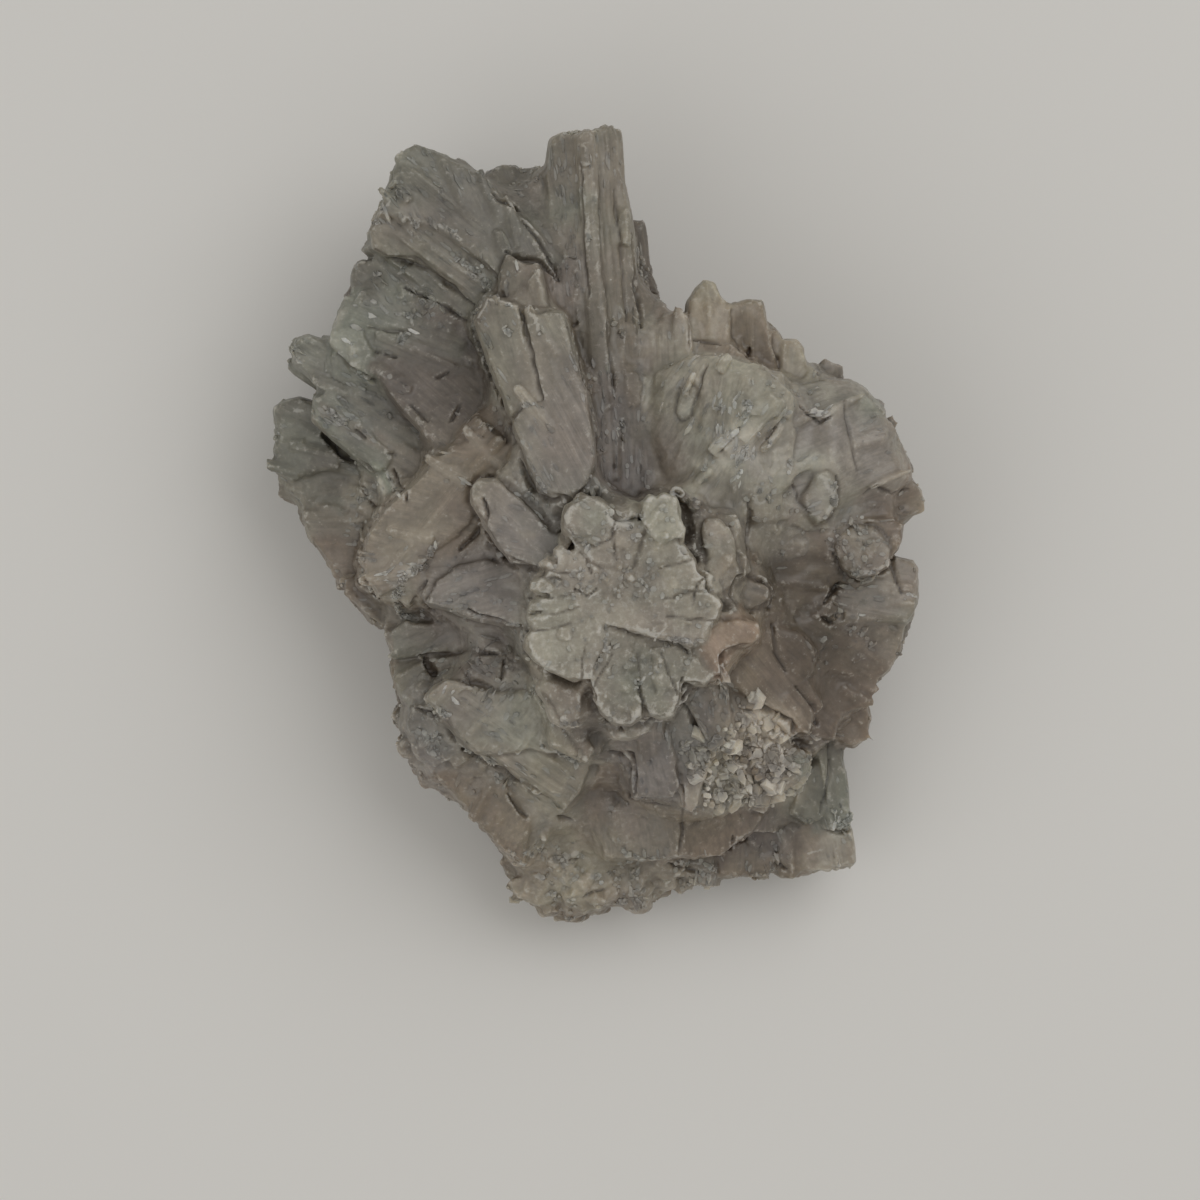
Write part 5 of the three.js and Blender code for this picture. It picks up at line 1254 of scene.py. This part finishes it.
highlightCrests = {
    (0.14, 0.12): [[-8.1, 12.7, -7.7, 12.4], [-6.9, 12.45, -6.2, 12.2, -6, 11.8], [-1.5, -2.1, -1, -2],
        [-7.3, -7.3, -6.9, -7.7, -6.4, -8]],
    (0.22, 0.15): [[-6, 11, -5.2, 10.5, -4.7, 9.9], [5.9, 3.2, 5.4, 2.3]],
    (0.12, 0.15): [[-9.3, 13, -8.9, 13.4], [-8.6, 8.8, -8, 8.75, -7.9, 8.3], [6.1, 1.2, 6.4, 0.8, 6.8, 1],
        [9.1, -13.9, 9.6, -13.8], [-1.1, -14, -0.8, -13.8], [-12.9, 4.9, -12.5, 4.85]],
    (0.16, 0.18): [[-8.5, 7.7, -8.1, 8]],
    (0.16, 0.2): [[-8.5, 10.5, -8.3, 10.6], [1.1, -15.95, 1.3, -16]],
    (0.1, 0.15): [[-9.5, 10.4, -9.3, 10.5], [0.76, 4.4, 0.78, 3.9], [0.76, 3.6, 0.8, 3.1],
        [6.7, 3.2, 7.6, 4.6], [4.6, 4.7, 4.9, 4.9], [4.15, 2.7, 4.15, 2.2],
        [-9.05, 2.3, -8.7, 1.6, -8.5, 1.1]],
    (0.1, 0.1): [[-5.3, 8.5, -4.9, 9.2, -4.3, 9.2, -3.9, 8.8], [-3.3, 8.9, -3, 8.4, -2.8, 7.8],
        [-3.5, 4.9, -3, 4.8], [-5.9, -9.2, -5.2, -9.8, -4.4, -10]],
    (0.12, 0.1): [[-4.2, 8, -4, 7.8], [-1.3, -2.7, -0.8, -3.1, -0.4, -2.9]],
    (0.08, 0.12): [[-0.66, 12.9, -0.58, 11.6], [0.4, 8.7, 0.5, 8.2], [1.3, -2.4, 1.6, -2.7, 1.4, -2.9],
        [7.7, 2.6, 7.75, 2.2]],
    (0.09, 0.12): [[0.76, 8.1, 0.9, 7.5]],
    (0.12, 0.2): [[-2.75, -0.05, -2.65, -0.15]],
    (0.14, 0.2): [[-2.6, -9.1, -2.3, -9.5, -1.6, -9.6, -1.2, -9.8, -1, -10.2], [10, -12.05, 10.1, -12.1]],
    (0.3, 0.2): [[-7.4, -1.7, -8.1, -2, -8.5, -2.5, -8.6, -3.1, -8.3, -3.8, -7.6, -4]],
    (0.08, 0.1): [[-6.9, -0.8, -7.5, -1.5]],
    (0.1, 0.12): [[1.1, -4.4, 1.8, -4.6, 1.9, -4.75], [2.4, -4.8, 3.4, -4.9, 3.9, -5.3],
        [1.1, -6.9, 1.5, -6.4], [6.3, 3.6, 6.4, 4.1], [3.4, -14.25, 4.6, -14.4, 5.1, -14.6]],
    (0.12, 0.12): [[-1, -0.9, -0.7, -1.6], [10.6, -2.05, 11.4, -1.95, 11.9, -1.6]],
    (0.14, 0.15): [[5.6, 4.9, 6, 4.9], [-3, -13.8, -2.8, -13.9]],
    (0.22, 0.12): [[9, 2, 9.55, 1.5, 9.6, 0.8, 9.2, 0.3]],
    (0.2, 0.2): [[10.3, -12.7, 10.7, -12.6, 10.8, -12.3], [-0.3, -14.9, 0.2, -14.9]],
    (0.18, 0.2): [[6, -13.25, 6.1, -13.2]],
    (0.2, 0.12): [[-11.6, 4.9, -11, 4.5, -10.7, 4.2]],
}


def lineMarks(points, exposed, lines):
    # how far each point stands out along the lines, and how strongly it lies on one of them
    moved, shown = np.zeros(len(points)), np.zeros(len(points))
    rows = [(*size, np.reshape(line, (-1, 2))) for size, same in lines.items() for line in same]
    for wide, deep, line in rows:
        near = nearPlan(points, exposed, line.min(axis=0) - 3 * wide, line.max(axis=0) + 3 * wide)
        wavy = np.column_stack([valueNoise(points[near] * 2.3, seed) for seed in (81, 82)])
        place = points[near, :2] + 0.05 * wavy
        gap = np.full(len(near), 9.0)
        whole = np.linalg.norm(np.diff(line, axis=0), axis=1).sum()
        thin = wide * (0.55 + 0.4 * valueNoise(points[near] * 1.3, 83))
        passed = 0
        for start, stop in zip(line[:-1], line[1:]):
            along = stop - start
            share = np.clip((place - start) @ along / (along @ along), 0, 1)
            part = (passed + share * np.linalg.norm(along)) / whole
            passed += np.linalg.norm(along)
            fades = 0.3 + 1.4 * np.sqrt(part * (1 - part))  # thin out towards both ends
            off = np.linalg.norm(place - start - share[:, None] * along, axis=1)
            gap = np.minimum(gap, off / np.maximum(thin * fades, 0.04))
        bell = np.exp(-(gap**2))
        moved[near] = np.maximum(moved[near], deep * bell)
        shown[near] = np.maximum(shown[near], bell)
    return moved, shown


# Splinters and grains that stand a little out of the stone, each a small prism with flat faces. The pale
# ones are partly the stone's own white and partly painted highlight; the glints are painted highlights.
chips = {
    "splinters": dict(
        number=1300, long=(0.3, 1), wide=(0.1, 0.26), proud=(-0.03, 0.04), tilt=0.15, pale=0.35
    ),
    "grains": dict(number=1000, long=(0.2, 0.5), wide=(0.14, 0.34), proud=(0, 0.08), tilt=0.5, pale=0.4),
    "edges": dict(number=700, long=(0.15, 0.5), wide=(0.1, 0.25), proud=(0.02, 0.12), tilt=0.5, pale=0.8),
    "glints": dict(number=170, long=(0.25, 0.8), wide=(0.12, 0.3), proud=(-0.02, 0.05), tilt=0.4, pale=1.2),
    "druse": dict(number=440, long=(0.2, 1.1), wide=(0.2, 0.75), proud=(-0.05, 0.25), tilt=1.2, pale=1.3),
}
druseRim = np.reshape([
    3.5, -9, 4.5, -8.9, 5.6, -8.2, 5.9, -7.2, 6.8, -7.1, 7.9, -8, 8.9, -9, 9.3, -9.9, 8.7, -11.2,
    7.7, -11.8, 6.2, -11.6, 4.8, -11.9, 3.6, -11.2, 3.3, -10,
], (-1, 2))

# Where the glints gather, bright chips that are painted highlights on cleaved splinters: place in plan, how
# far they spread, and how thickly.
brightSpots = [
    (5.4, 4.6, 0.6, 1), (5.6, 2.7, 0.5, 1.5), (4.9, 3.7, 0.45, 1.2), (4.2, 2.7, 0.3, 1),
    (5.4, 2, 0.3, 0.8), (4.6, 4.8, 0.4, 0.8), (9.1, 4.7, 0.4, 1.5), (7.5, 4.1, 0.3, 0.8),
    (6.5, 1.2, 0.35, 1), (7.7, 2.3, 0.25, 0.7), (10.5, 1.2, 0.2, 0.8), (10.9, -0.1, 0.4, 0.5),
    (13, -3.1, 0.4, 0.3), (11, -3.5, 0.4, 0.5), (12.4, -5.2, 0.3, 0.3), (0.8, 3.9, 0.2, 1),
    (0.75, 3.2, 0.2, 0.8), (-2.7, -0.1, 0.15, 1.2), (2.9, 1.1, 0.4, 0.4), (-9, 12.2, 0.5, 0.25),
    (-5.2, 10.3, 0.4, 0.3), (-9.9, 9.3, 0.6, 0.2), (-10.5, 7.9, 0.5, 0.2), (-7.6, 8.1, 0.4, 0.5),
    (-3.4, 10.5, 0.5, 0.25), (-8.2, -2.2, 0.8, 0.5), (-6.2, -6.6, 0.9, 0.2), (-1.7, -8.4, 0.6, 0.4),
    (10.6, -12.6, 0.5, 1.5), (0.2, -15, 0.5, 0.3), (-2.9, -14, 0.4, 0.3), (-0.8, -13.9, 0.4, 0.3),
]


def chipPlaces(kind, points, normals, end, crest, owner):
    # the numbers of the vertices that carry a chip of this kind, spread by chance
    up = np.clip(normals[:, 2], 0, 1)
    seen = up * ofGroup("chips", owner) * np.clip(0.25 + 2.2 * valueNoise(points * 0.7, 88), 0.04, 1)
    if kind == "splinters":
        weight = seen * (1 - end) ** 2
    elif kind == "grains":
        weight = seen * end**2
    elif kind == "edges":
        weight = seen * np.clip(crest - 0.3, 0, 1)
    elif kind == "glints":
        weight = up * sum(much * spotWeight(points, x, y, wide) for x, y, wide, much in brightSpots)
    else:
        thick = np.clip(0.5 + 2 * valueNoise(points * 0.9, 87), 0, 1)
        weight = up * (rimGap(points, druseRim) < 0) * thick
    chance = uneven(np.arange(len(points)) * 0.7137 + len(kind))
    order = np.argsort(-np.log(chance + 1e-9) / np.maximum(weight, 1e-9), kind="stable")
    return order[: chips[kind]["number"]]


def chipMesh(kind, points, normals, axis, tint, end, crest, owner):
    row, corners = chips[kind], 6
    picked = chipPlaces(kind, points, normals, end, crest, owner)
    own = [uneven(picked * 0.377 + 11 * k + 0.5) for k in range(20)]
    out = normals[picked] + row["tilt"] * (np.column_stack(own[:3]) - 0.5)
    out /= np.linalg.norm(out, axis=1)[:, None]
    along = axis[picked] + 0.25 * (np.column_stack(own[3:6]) - 0.5)
    loose = (np.linalg.norm(axis[picked], axis=1) < 0.5) | (kind not in ("splinters", "glints"))
    along[loose] = np.column_stack(own[3:6])[loose] - 0.5
    along -= np.sum(along * out, axis=1)[:, None] * out
    along /= np.linalg.norm(along, axis=1)[:, None]
    side = np.cross(out, along)
    long = within(row["long"], own[6] ** 2)
    long = long * np.clip(0.3 + 1.2 * normals[picked, 2], 0.3, 1)  # shorter near the outline
    wide = np.minimum(within(row["wide"], own[7]), long)
    proud = within(row["proud"], own[8])
    places = np.empty((len(picked), 2 * corners, 3))
    for k in range(corners):
        angle = (k + 0.6 * own[9 + k] - 0.3) * 2 * math.pi / corners
        cos, sin = np.cos(angle), np.sin(angle)
        size = 0.42 + 0.16 * own[14 - k // 2]
        flat = along * (long * size * cos)[:, None] + side * (wide * size * sin)[:, None]
        slope = 0.25 * wide * (own[15] - 0.5) * cos + 0.25 * wide * (own[16] - 0.5) * sin
        places[:, k] = points[picked] + 0.82 * flat + out * (proud + slope)[:, None]
        places[:, corners + k] = points[picked] + 1.1 * flat - out * (0.2 + 0.3 * wide)[:, None]
    # the pale share is partly the stone's own white and partly painted highlight; glints are brightened
    # further as painted highlights
    glint = kind == "glints"
    pale = np.clip(row["pale"] * own[17] ** (0.8 if glint else 1.6), 0, 1)[:, None]
    paleAndHighlight = stoneColour("cream" if kind == "druse" else "chalk") * (1.15 if glint else 0.95)
    colour = tint[picked] * (0.85 + 0.3 * own[18])[:, None] * (1 - pale) + paleAndHighlight * pale
    turn = np.arange(corners)
    sides = [face[::-1] for face in ringFaces(corners, 0, corners)]
    faces = [turn.tolist(), (turn[::-1] + corners).tolist(), *sides]
    return places, faces, np.repeat(colour, 2 * corners, axis=0), np.repeat(end[picked], 2 * corners)


def grownChips(*surface):
    points, faces, colours, crusts = [], [], [], []
    count = 0
    for kind in chips:
        places, own, tint, crust = chipMesh(kind, *surface)
        for chip in places:
            faces += [tuple(count + corner for corner in face) for face in own]
            count += len(chip)
        points.append(places.reshape(-1, 3))
        colours.append(tint)
        crusts.append(crust)
    points = np.concatenate(points)
    points[:, 2] = np.maximum(points[:, 2], 0)
    mesh = bpy.data.meshes.new("chips")
    mesh.from_pydata((points * millimetre).tolist(), [], faces)
    none = np.zeros(count)
    marks = {"tint": opaque(np.concatenate(colours)), "crust": np.concatenate(crusts), "grain": points}
    addAttributes(mesh, {**marks, "edge": none + 0.5, "creviceShadeAndDirt": none, "crest": none, "join": none + 1})
    return mesh


# How the skin moves in and out. A layer of noise is its strength, cells to the millimetre and seed.
skin = {
    "stretch": (1, 1, 0.05),  # the lines run long along the crystal
    "lines": [(0.6, 2.6, 3), (0.4, 5, 4)],
    "crumbs": [(0.6, 1.9, 5), (0.5, 3.7, 6), (0.3, 7, 7)],
    "sideCrumbs": 0.2,  # as a share of those on a broken end
    "crack": 0.25,
    "pit": 0.3,
    "ledge": (0.015, 0.04),  # on the sides and on the broken ends
    "crest": 0.28,
    "cleft": 0.7,
    "moat": 1.4,
    "past": 0.3,  # how far it may stand out of the CAD's box
    "sharp": (4, 0.06),  # an edge this high above what is left after so many passes of smoothing reads 1
    "broad": (24, 0.25),
}


def relief(points, grain, warp, end, group):
    # lines, cracks and low ledges on the sides, and crumbs and pits where a crystal broke off
    stretched = grain * skin["stretch"]
    cracks = np.clip(valueNoise(stretched * 1.5, 12) - 0.45, 0, 1)
    cracks *= np.clip(valueNoise(grain * 0.5, 13) + 0.3, 0, 1)
    ledges = np.tanh(9 * valueNoise(grain * (0.8, 0.8, 0.3) + 0.3 * warp, 8))
    pits = np.clip(valueNoise(points * 1.6, 9) - 0.55, 0, 1)
    lines, crumbs = layered(stretched, skin["lines"]), layered(points, skin["crumbs"])
    rough = ofGroup("crumbs", group)
    sides = ofGroup("lines", group) * lines - skin["crack"] * cracks
    sides = sides + skin["sideCrumbs"] * rough * crumbs + skin["ledge"][0] * ledges
    return (1 - end) * sides + end * (rough * crumbs + skin["ledge"][1] * ledges - skin["pit"] * pits)


def standingOut(points, normals, edges, passes, high):
    return np.sum((points - smoothed(points, edges, passes)) * normals, axis=1) / high


def grow():
    mesh = grownMesh()
    points = readArray(mesh.vertices, "co") / millimetre
    edges = readArray(mesh.edges, "vertices", 2, np.int32)
    points = softened(smoothed(points, edges, 1), edges)
    normals = placeVertices(mesh, points)
    warp = np.column_stack([cloud(points + 31 * k, 1.1, k, 3) for k in range(3)])
    group, gap, grain, axis, tint, crust = nearest(points, 0.12 * warp)
    end = np.clip(np.abs(np.sum(normals * axis, axis=1)) * 2.4 - 1.1, 0, 1)  # 1 on a broken end
    end = np.where(np.linalg.norm(axis, axis=1) < 0.5, 0.5, end)
    end = np.where(gap > 0.3, 0.6, end)  # the stone between
    end = np.maximum(end * (crust < fullCrust), crust * np.clip(normals[:, 2] * 2, 0, 1))
    move = relief(points, grain, warp, end, group)

    exposed = (normals[:, 2] > 0.15) & (sunken(points) < 0.9)
    cut, cleft = lineMarks(points, exposed, clefts)
    proud, crest = lineMarks(points, exposed, highlightCrests)
    moat, moatShade, rimLight = moatMarks(points, exposed)
    upward = np.clip(1.8 * normals[:, 2] - 0.5, 0, 1)
    moat = smoothed((skin["moat"] * moat * upward)[:, None], edges, 2)[:, 0]
    # cleft marks where clefts and moats are painted darker as shade
    cut, cleft = np.maximum(cut * upward, moat), np.maximum(cleft, moatShade)
    # crest marks the light crests and rim lines, painted lighter as highlights
    crest = np.maximum(crest, 0.2 * rimLight)
    broken = np.clip(2.5 * valueNoise(points * 3.1, 84) + 0.4, 0, 1)  # a crest shows in short stretches
    points = points + normals * (move + skin["crest"] * proud * broken - skin["cleft"] * cut)[:, None]
    past = skin["past"]
    points = np.clip(points, lowCorner - (past, past, 0), highCorner + past)
    normals = placeVertices(mesh, points)

    sharp = standingOut(points, normals, edges, *skin["sharp"])
    broad = standingOut(points, normals, edges, *skin["broad"])
    # painted shade: darker where stone closes round a point, where it lies below its surroundings, in
    # concave dips and in the clefts, with some brown dirt there too
    closed = closedIn(points + normals * 0.9)
    dirtAndShade = np.clip(closed * 1.3 - 0.4 - 0.3 * broad + 0.8 * sunken(points), 0, 1)
    dirtAndShade = dirtAndShade + 0.5 * np.clip(-broad - 0.2, 0, 1) + 0.7 * cleft
    tint = patched(points, smoothed(tint, edges, 4))
    join = np.zeros((len(points), 1))  # where two crystals meet
    join[edges[np.linalg.norm(grain[edges[:, 0]] - grain[edges[:, 1]], axis=1) > 0.5].ravel()] = 1
    marks = {
        "tint": opaque(tint),
        "grain": grain,
        # edge also takes in the light crests, a painted highlight
        "edge": np.clip(0.5 + 0.25 * sharp + 0.25 * broad + 0.6 * crest, 0, 1),
        "creviceShadeAndDirt": np.clip(dirtAndShade, 0, 1),
        "crest": crest * broken,
        "crust": end,
        "join": np.minimum(1, 3 * smoothed(join, edges, 3)[:, 0] + join[:, 0]),
    }
    addAttributes(mesh, marks)
    mesh.polygons.foreach_set("use_smooth", np.ones(len(mesh.polygons), dtype=bool))
    return mesh, group, grownChips(points, normals, axis, tint, end, marks["crest"], group)


def parted(mesh, group):
    # the grown mesh in parts, each of the faces that lie on one group of crystals
    owner = group[readArray(mesh.loops, "vertex_index", 1, np.int32).reshape(-1, 4)[:, 0]]
    for number, name in enumerate(groupNames):
        part = mesh.copy()
        part.name = name
        shape = bmesh.new()
        shape.from_mesh(part)
        others = [face for face in shape.faces if owner[face.index] != number]
        bmesh.ops.delete(shape, geom=others, context="FACES")
        shape.to_mesh(part)
        shape.free()
        yield name, part


def addNode(tree, kind, inputs, **settings):
    made = tree.nodes.new(kind)
    for name, value in settings.items():
        setattr(made, name, value)
    for name, value in inputs.items():
        socket = made.inputs[name]
        if isinstance(value, bpy.types.NodeSocket):
            tree.links.new(value, socket)
        else:
            socket.default_value = value
    return made.outputs


def maths(tree, operation, first, second, clamp=False):
    return addNode(tree, "ShaderNodeMath", {0: first, 1: second}, operation=operation, use_clamp=clamp)[0]


def times(tree, first, second):
    return maths(tree, "MULTIPLY", first, second)


def minus(tree, first, second):
    return maths(tree, "SUBTRACT", first, second)


def mixed(tree, share, first, second, blend="MIX"):
    settings = dict(data_type="RGBA", blend_type=blend, clamp_factor=True)
    return addNode(tree, "ShaderNodeMix", {0: share, 6: first, 7: second}, **settings)[2]


def shaded(tree, colour, by):
    return mixed(tree, 1, colour, by, "MULTIPLY")


def ranged(tree, value, low, high, to=(0, 1)):
    sockets = {"Value": value, "From Min": low, "From Max": high, "To Min": to[0], "To Max": to[1]}
    return addNode(tree, "ShaderNodeMapRange", sockets, interpolation_type="SMOOTHSTEP")[0]


def noise(tree, place, scale, detail, roughness=0.55):
    sockets = {"Vector": place, "Scale": scale, "Detail": detail, "Roughness": roughness}
    return addNode(tree, "ShaderNodeTexNoise", sockets)[0]


def scaled(tree, place, factors):
    return addNode(tree, "ShaderNodeVectorMath", {0: place, 1: factors}, operation="MULTIPLY")[0]


def useGroup(tree, group, inputs):
    return addNode(tree, "ShaderNodeGroup", inputs, node_tree=group)


def makeGroup(name, inputs, outputs):
    # a number is how an input starts, and None marks one that takes a direction or a place
    tree = bpy.data.node_groups.new(name, "ShaderNodeTree")
    for label, value in inputs.items():
        kind = "Vector" if value is None else "Color" if isinstance(value, tuple) else "Float"
        socket = tree.interface.new_socket(label, in_out="INPUT", socket_type="NodeSocket" + kind)
        if value is not None:
            socket.default_value = value
    for label, kind in outputs.items():
        tree.interface.new_socket(label, in_out="OUTPUT", socket_type="NodeSocket" + kind)
    return tree, tree.nodes.new("NodeGroupInput").outputs, tree.nodes.new("NodeGroupOutput").inputs


def growthLinesGroup():
    # fine lines along the crystal on its sides, and granules where it is broken or crusted
    inputs = {"Grain": None, "Place": None, "Crust": 0, "Join": 0, "Line scale": 5, "Granule scale": 5}
    outputs = {"Height": "Float", "Streak": "Float", "Granule": "Float"}
    tree, given, result = makeGroup("growthLines", inputs, outputs)
    line = noise(tree, scaled(tree, given["Grain"], skin["stretch"]), given["Line scale"], 4, 0.6)
    granule = noise(tree, given["Place"], given["Granule scale"], 4, 0.65)
    plain = minus(tree, 1, maths(tree, "MAXIMUM", given["Crust"], given["Join"]))
    streak = times(tree, minus(tree, line, 0.5), plain)
    rough = times(tree, granule, maths(tree, "ADD", times(tree, given["Crust"], 1.3), 0.4))
    tree.links.new(maths(tree, "ADD", streak, rough), result["Height"])
    tree.links.new(maths(tree, "ADD", streak, 0.5), result["Streak"])
    tree.links.new(granule, result["Granule"])
    return tree


stoneTones = {
    "green": (0.985, 1, 0.97, 1),
    "violet": (1.012, 0.99, 0.985, 1),
    # painted shade in the hollows, with some dirt
    "dirtAndShade": (0.34, 0.29, 0.24, 1),
    "frost": (0.62, 0.6, 0.55, 1),
    # painted highlight of the glints and the light crests
    "paintedGlint": (0.8, 0.79, 0.75, 1),
}


def stoneColourGroup():
    # tint with clouds and streaks, white where edges are chipped and along the light crests (painted
    # highlight), and darker and browner in the gaps, partly dirt and partly painted shade
    inputs = {"Tint": (0.3, 0.28, 0.25, 1), "Place": None, "Streak": 0.5, "Granule": 0.5, "Edge": 0.5}
    inputs |= {"Crevice shade and dirt": 0, "Crust": 0, "Frost": 0.5, "Shade and stain": 0.5}
    tree, given, result = makeGroup("stoneColour", inputs, {"Colour": "Color", "Frosted": "Float"})
    green, violet = [shaded(tree, given["Tint"], stoneTones[name]) for name in ("green", "violet")]
    colour = mixed(tree, ranged(tree, noise(tree, given["Place"], 0.3, 3), 0.4, 0.6), green, violet)
    shade = ranged(tree, noise(tree, given["Place"], 0.9, 5, 0.6), 0.32, 0.68, (0.84, 1.14))
    shade = times(tree, shade, ranged(tree, given["Streak"], 0.3, 0.7, (0.84, 1.14)))
    shade = times(tree, shade, ranged(tree, given["Granule"], 0.3, 0.7, (0.92, 1.08)))
    grey = addNode(tree, "ShaderNodeCombineColor", {0: shade, 1: shade, 2: shade})[0]
    colour = shaded(tree, colour, grey)
    # painted shade, with some brown dirt, in the hollows and clefts
    dirtAndShade = times(tree, given["Crevice shade and dirt"], given["Shade and stain"])
    colour = mixed(tree, dirtAndShade, colour, shaded(tree, colour, stoneTones["dirtAndShade"]))
    # frosted: chipped edges and crusts turn white, and through the edge mark the light crests do too, as
    # painted highlight
    loose = times(tree, minus(tree, given["Granule"], 0.5), 1.1)
    frosted = ranged(tree, maths(tree, "ADD", given["Edge"], loose), 0.6, 0.9)
    crusted = times(tree, given["Crust"], ranged(tree, given["Granule"], 0.5, 0.72, (0, 0.5)))
    frosted = times(tree, maths(tree, "MAXIMUM", frosted, crusted), given["Frost"])
    tree.links.new(mixed(tree, frosted, colour, stoneTones["frost"]), result["Colour"])
    tree.links.new(frosted, result["Frosted"])
    return tree


def paintedGlintsGroup():
    # painted glints: small bright flakes painted into the colour where a cleaved splinter would catch the
    # light
    tree, given, result = makeGroup("paintedGlints", {"Place": None, "Amount": 0.5}, {"Painted glint": "Float"})
    spread = minus(tree, noise(tree, given["Place"], 0.45, 2), 0.5)
    level = maths(tree, "ADD", noise(tree, given["Place"], 2.1, 2, 0.7), times(tree, spread, 0.3))
    start = minus(tree, 0.84, times(tree, given["Amount"], 0.2))
    tree.links.new(maths(tree, "MULTIPLY", minus(tree, level, start), 30, clamp=True), result["Painted glint"])
    return tree


growthLines, stoneSurface, paintedGlints = growthLinesGroup(), stoneColourGroup(), paintedGlintsGroup()
paintedGlintAmount = 0.2
finishes = {
    "fluted": {"frost": 0.5, "shadeAndStain": 0.85, "roughness": (0.42, 0.62), "glow": 0.4, "bump": 0.5},
    "milky": {"frost": 0.45, "shadeAndStain": 0.75, "roughness": (0.36, 0.62), "glow": 0.55, "bump": 0.35},
    "crusted": {"frost": 0.6, "shadeAndStain": 0.85, "roughness": (0.5, 0.7), "glow": 0.4, "bump": 0.6},
}


def stoneMaterial(name, finish):
    material = bpy.data.materials.new(name)
    material.use_nodes = True
    tree = material.node_tree
    shader = tree.nodes["Principled BSDF"]

    def attribute(label, output="Fac"):
        return addNode(tree, "ShaderNodeAttribute", {}, attribute_name=label)[output]

    place = scaled(tree, addNode(tree, "ShaderNodeTexCoord", {})["Object"], [1 / millimetre] * 3)
    shared = {"Place": place, "Crust": attribute("crust")}
    inputs = {"Grain": attribute("grain", "Vector"), "Join": attribute("join")}
    lines = useGroup(tree, growthLines, {**shared, **inputs, "Line scale": 5.5, "Granule scale": 4.5})
    inputs = {"Streak": lines["Streak"], "Granule": lines["Granule"], "Tint": attribute("tint", "Color")}
    inputs |= {"Edge": attribute("edge"), "Crevice shade and dirt": attribute("creviceShadeAndDirt")}
    inputs |= {"Frost": finish["frost"], "Shade and stain": finish["shadeAndStain"]}
    colour = useGroup(tree, stoneSurface, {**shared, **inputs})
    paintedGlint = useGroup(tree, paintedGlints, {"Place": place, "Amount": paintedGlintAmount})["Painted glint"]
    # painted highlights: the glints and the light crests lighten the colour
    paintedHighlight = maths(tree, "MAXIMUM", times(tree, paintedGlint, 0.5), times(tree, attribute("crest"), 0.45))
    bump = {"Height": lines["Height"], "Strength": finish["bump"], "Distance": 0.06 * millimetre}
    linked = {
        "Base Color": mixed(tree, paintedHighlight, colour["Colour"], stoneTones["paintedGlint"]),
        "Roughness": ranged(tree, colour["Frosted"], 0, 0.6, finish["roughness"]),
        "Normal": addNode(tree, "ShaderNodeBump", bump)["Normal"],
    }
    for label, socket in linked.items():
        tree.links.new(socket, shader.inputs[label])
    shader.inputs["Subsurface Weight"].default_value = finish["glow"]
    shader.inputs["Subsurface Radius"].default_value = (1, 0.85, 0.65)
    shader.inputs["Subsurface Scale"].default_value = millimetre
    shader.inputs["IOR"].default_value = 1.55
    return material


materials = {name: stoneMaterial(name, finish) for name, finish in finishes.items()}
allTriangles = 0
cluster, owners, chipped = grow()
pieces = [(name, mesh, groups[name]["finish"]) for name, mesh in parted(cluster, owners)]
for name, mesh, finish in [*pieces, ("chips", chipped, "milky")]:
    mesh.materials.append(materials[finish])
    piece = added("aragonite_" + name, mesh)
    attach(piece, "root")
    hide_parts("aragonite_cluster")
    triangles = sum(len(face.vertices) - 2 for face in mesh.polygons)
    allTriangles += triangles
    print(name, "grown:", triangles, "triangles")
print("all:", allTriangles, "triangles")

# A plain pale floor and soft light from above, a little from the back right. Sizes and distances of the
# lamps are in longest sides of the cluster.
studio = {
    "floor": (0.78, 0.765, 0.735, 1),
    "roughness": 0.9,
    "half": 30,
    "under": 0.02 * millimetre,
    "sky": {"Color": (1, 0.985, 0.95, 1), "Strength": 0.42},
    "away": 14,
    "lamps": {
        "key": {"from": (0.5, 0.45, 1), "size": 11, "power": 0.6},
        "fill": {"from": (-0.8, -0.5, 1), "size": 12, "power": 0.3},
    },
}


def makeStudio():
    far = studio["half"] * reach
    mesh = bpy.data.meshes.new("floor")
    mesh.from_pydata([(-far, -far, 0), (far, -far, 0), (far, far, 0), (-far, far, 0)], [], [(0, 1, 2, 3)])
    floor = added("floor", mesh)
    floor.location = (foot.x, foot.y, boxLow.z - studio["under"])
    paper = bpy.data.materials.new("paper")
    paper.use_nodes = True
    shader = paper.node_tree.nodes["Principled BSDF"]
    shader.inputs["Base Color"].default_value = studio["floor"]
    shader.inputs["Roughness"].default_value = studio["roughness"]
    mesh.materials.append(paper)
    for name, lamp in studio["lamps"].items():
        data = bpy.data.lights.new(name, "AREA")
        data.size = lamp["size"] * reach
        data.energy = lamp["power"]
        holder = added(name, data)
        toward = Vector(lamp["from"]).normalized()
        holder.location = foot + toward * studio["away"] * reach
        holder.rotation_mode = "QUATERNION"
        holder.rotation_quaternion = toward.to_track_quat("Z", "Y")
    world = bpy.data.worlds.new("soft sky")
    world.use_nodes = True
    for label, value in studio["sky"].items():
        world.node_tree.nodes["Background"].inputs[label].default_value = value
    bpy.context.scene.world = world
    bpy.context.scene.view_settings.view_transform = "Standard"


makeStudio()
print("floor and lights placed")
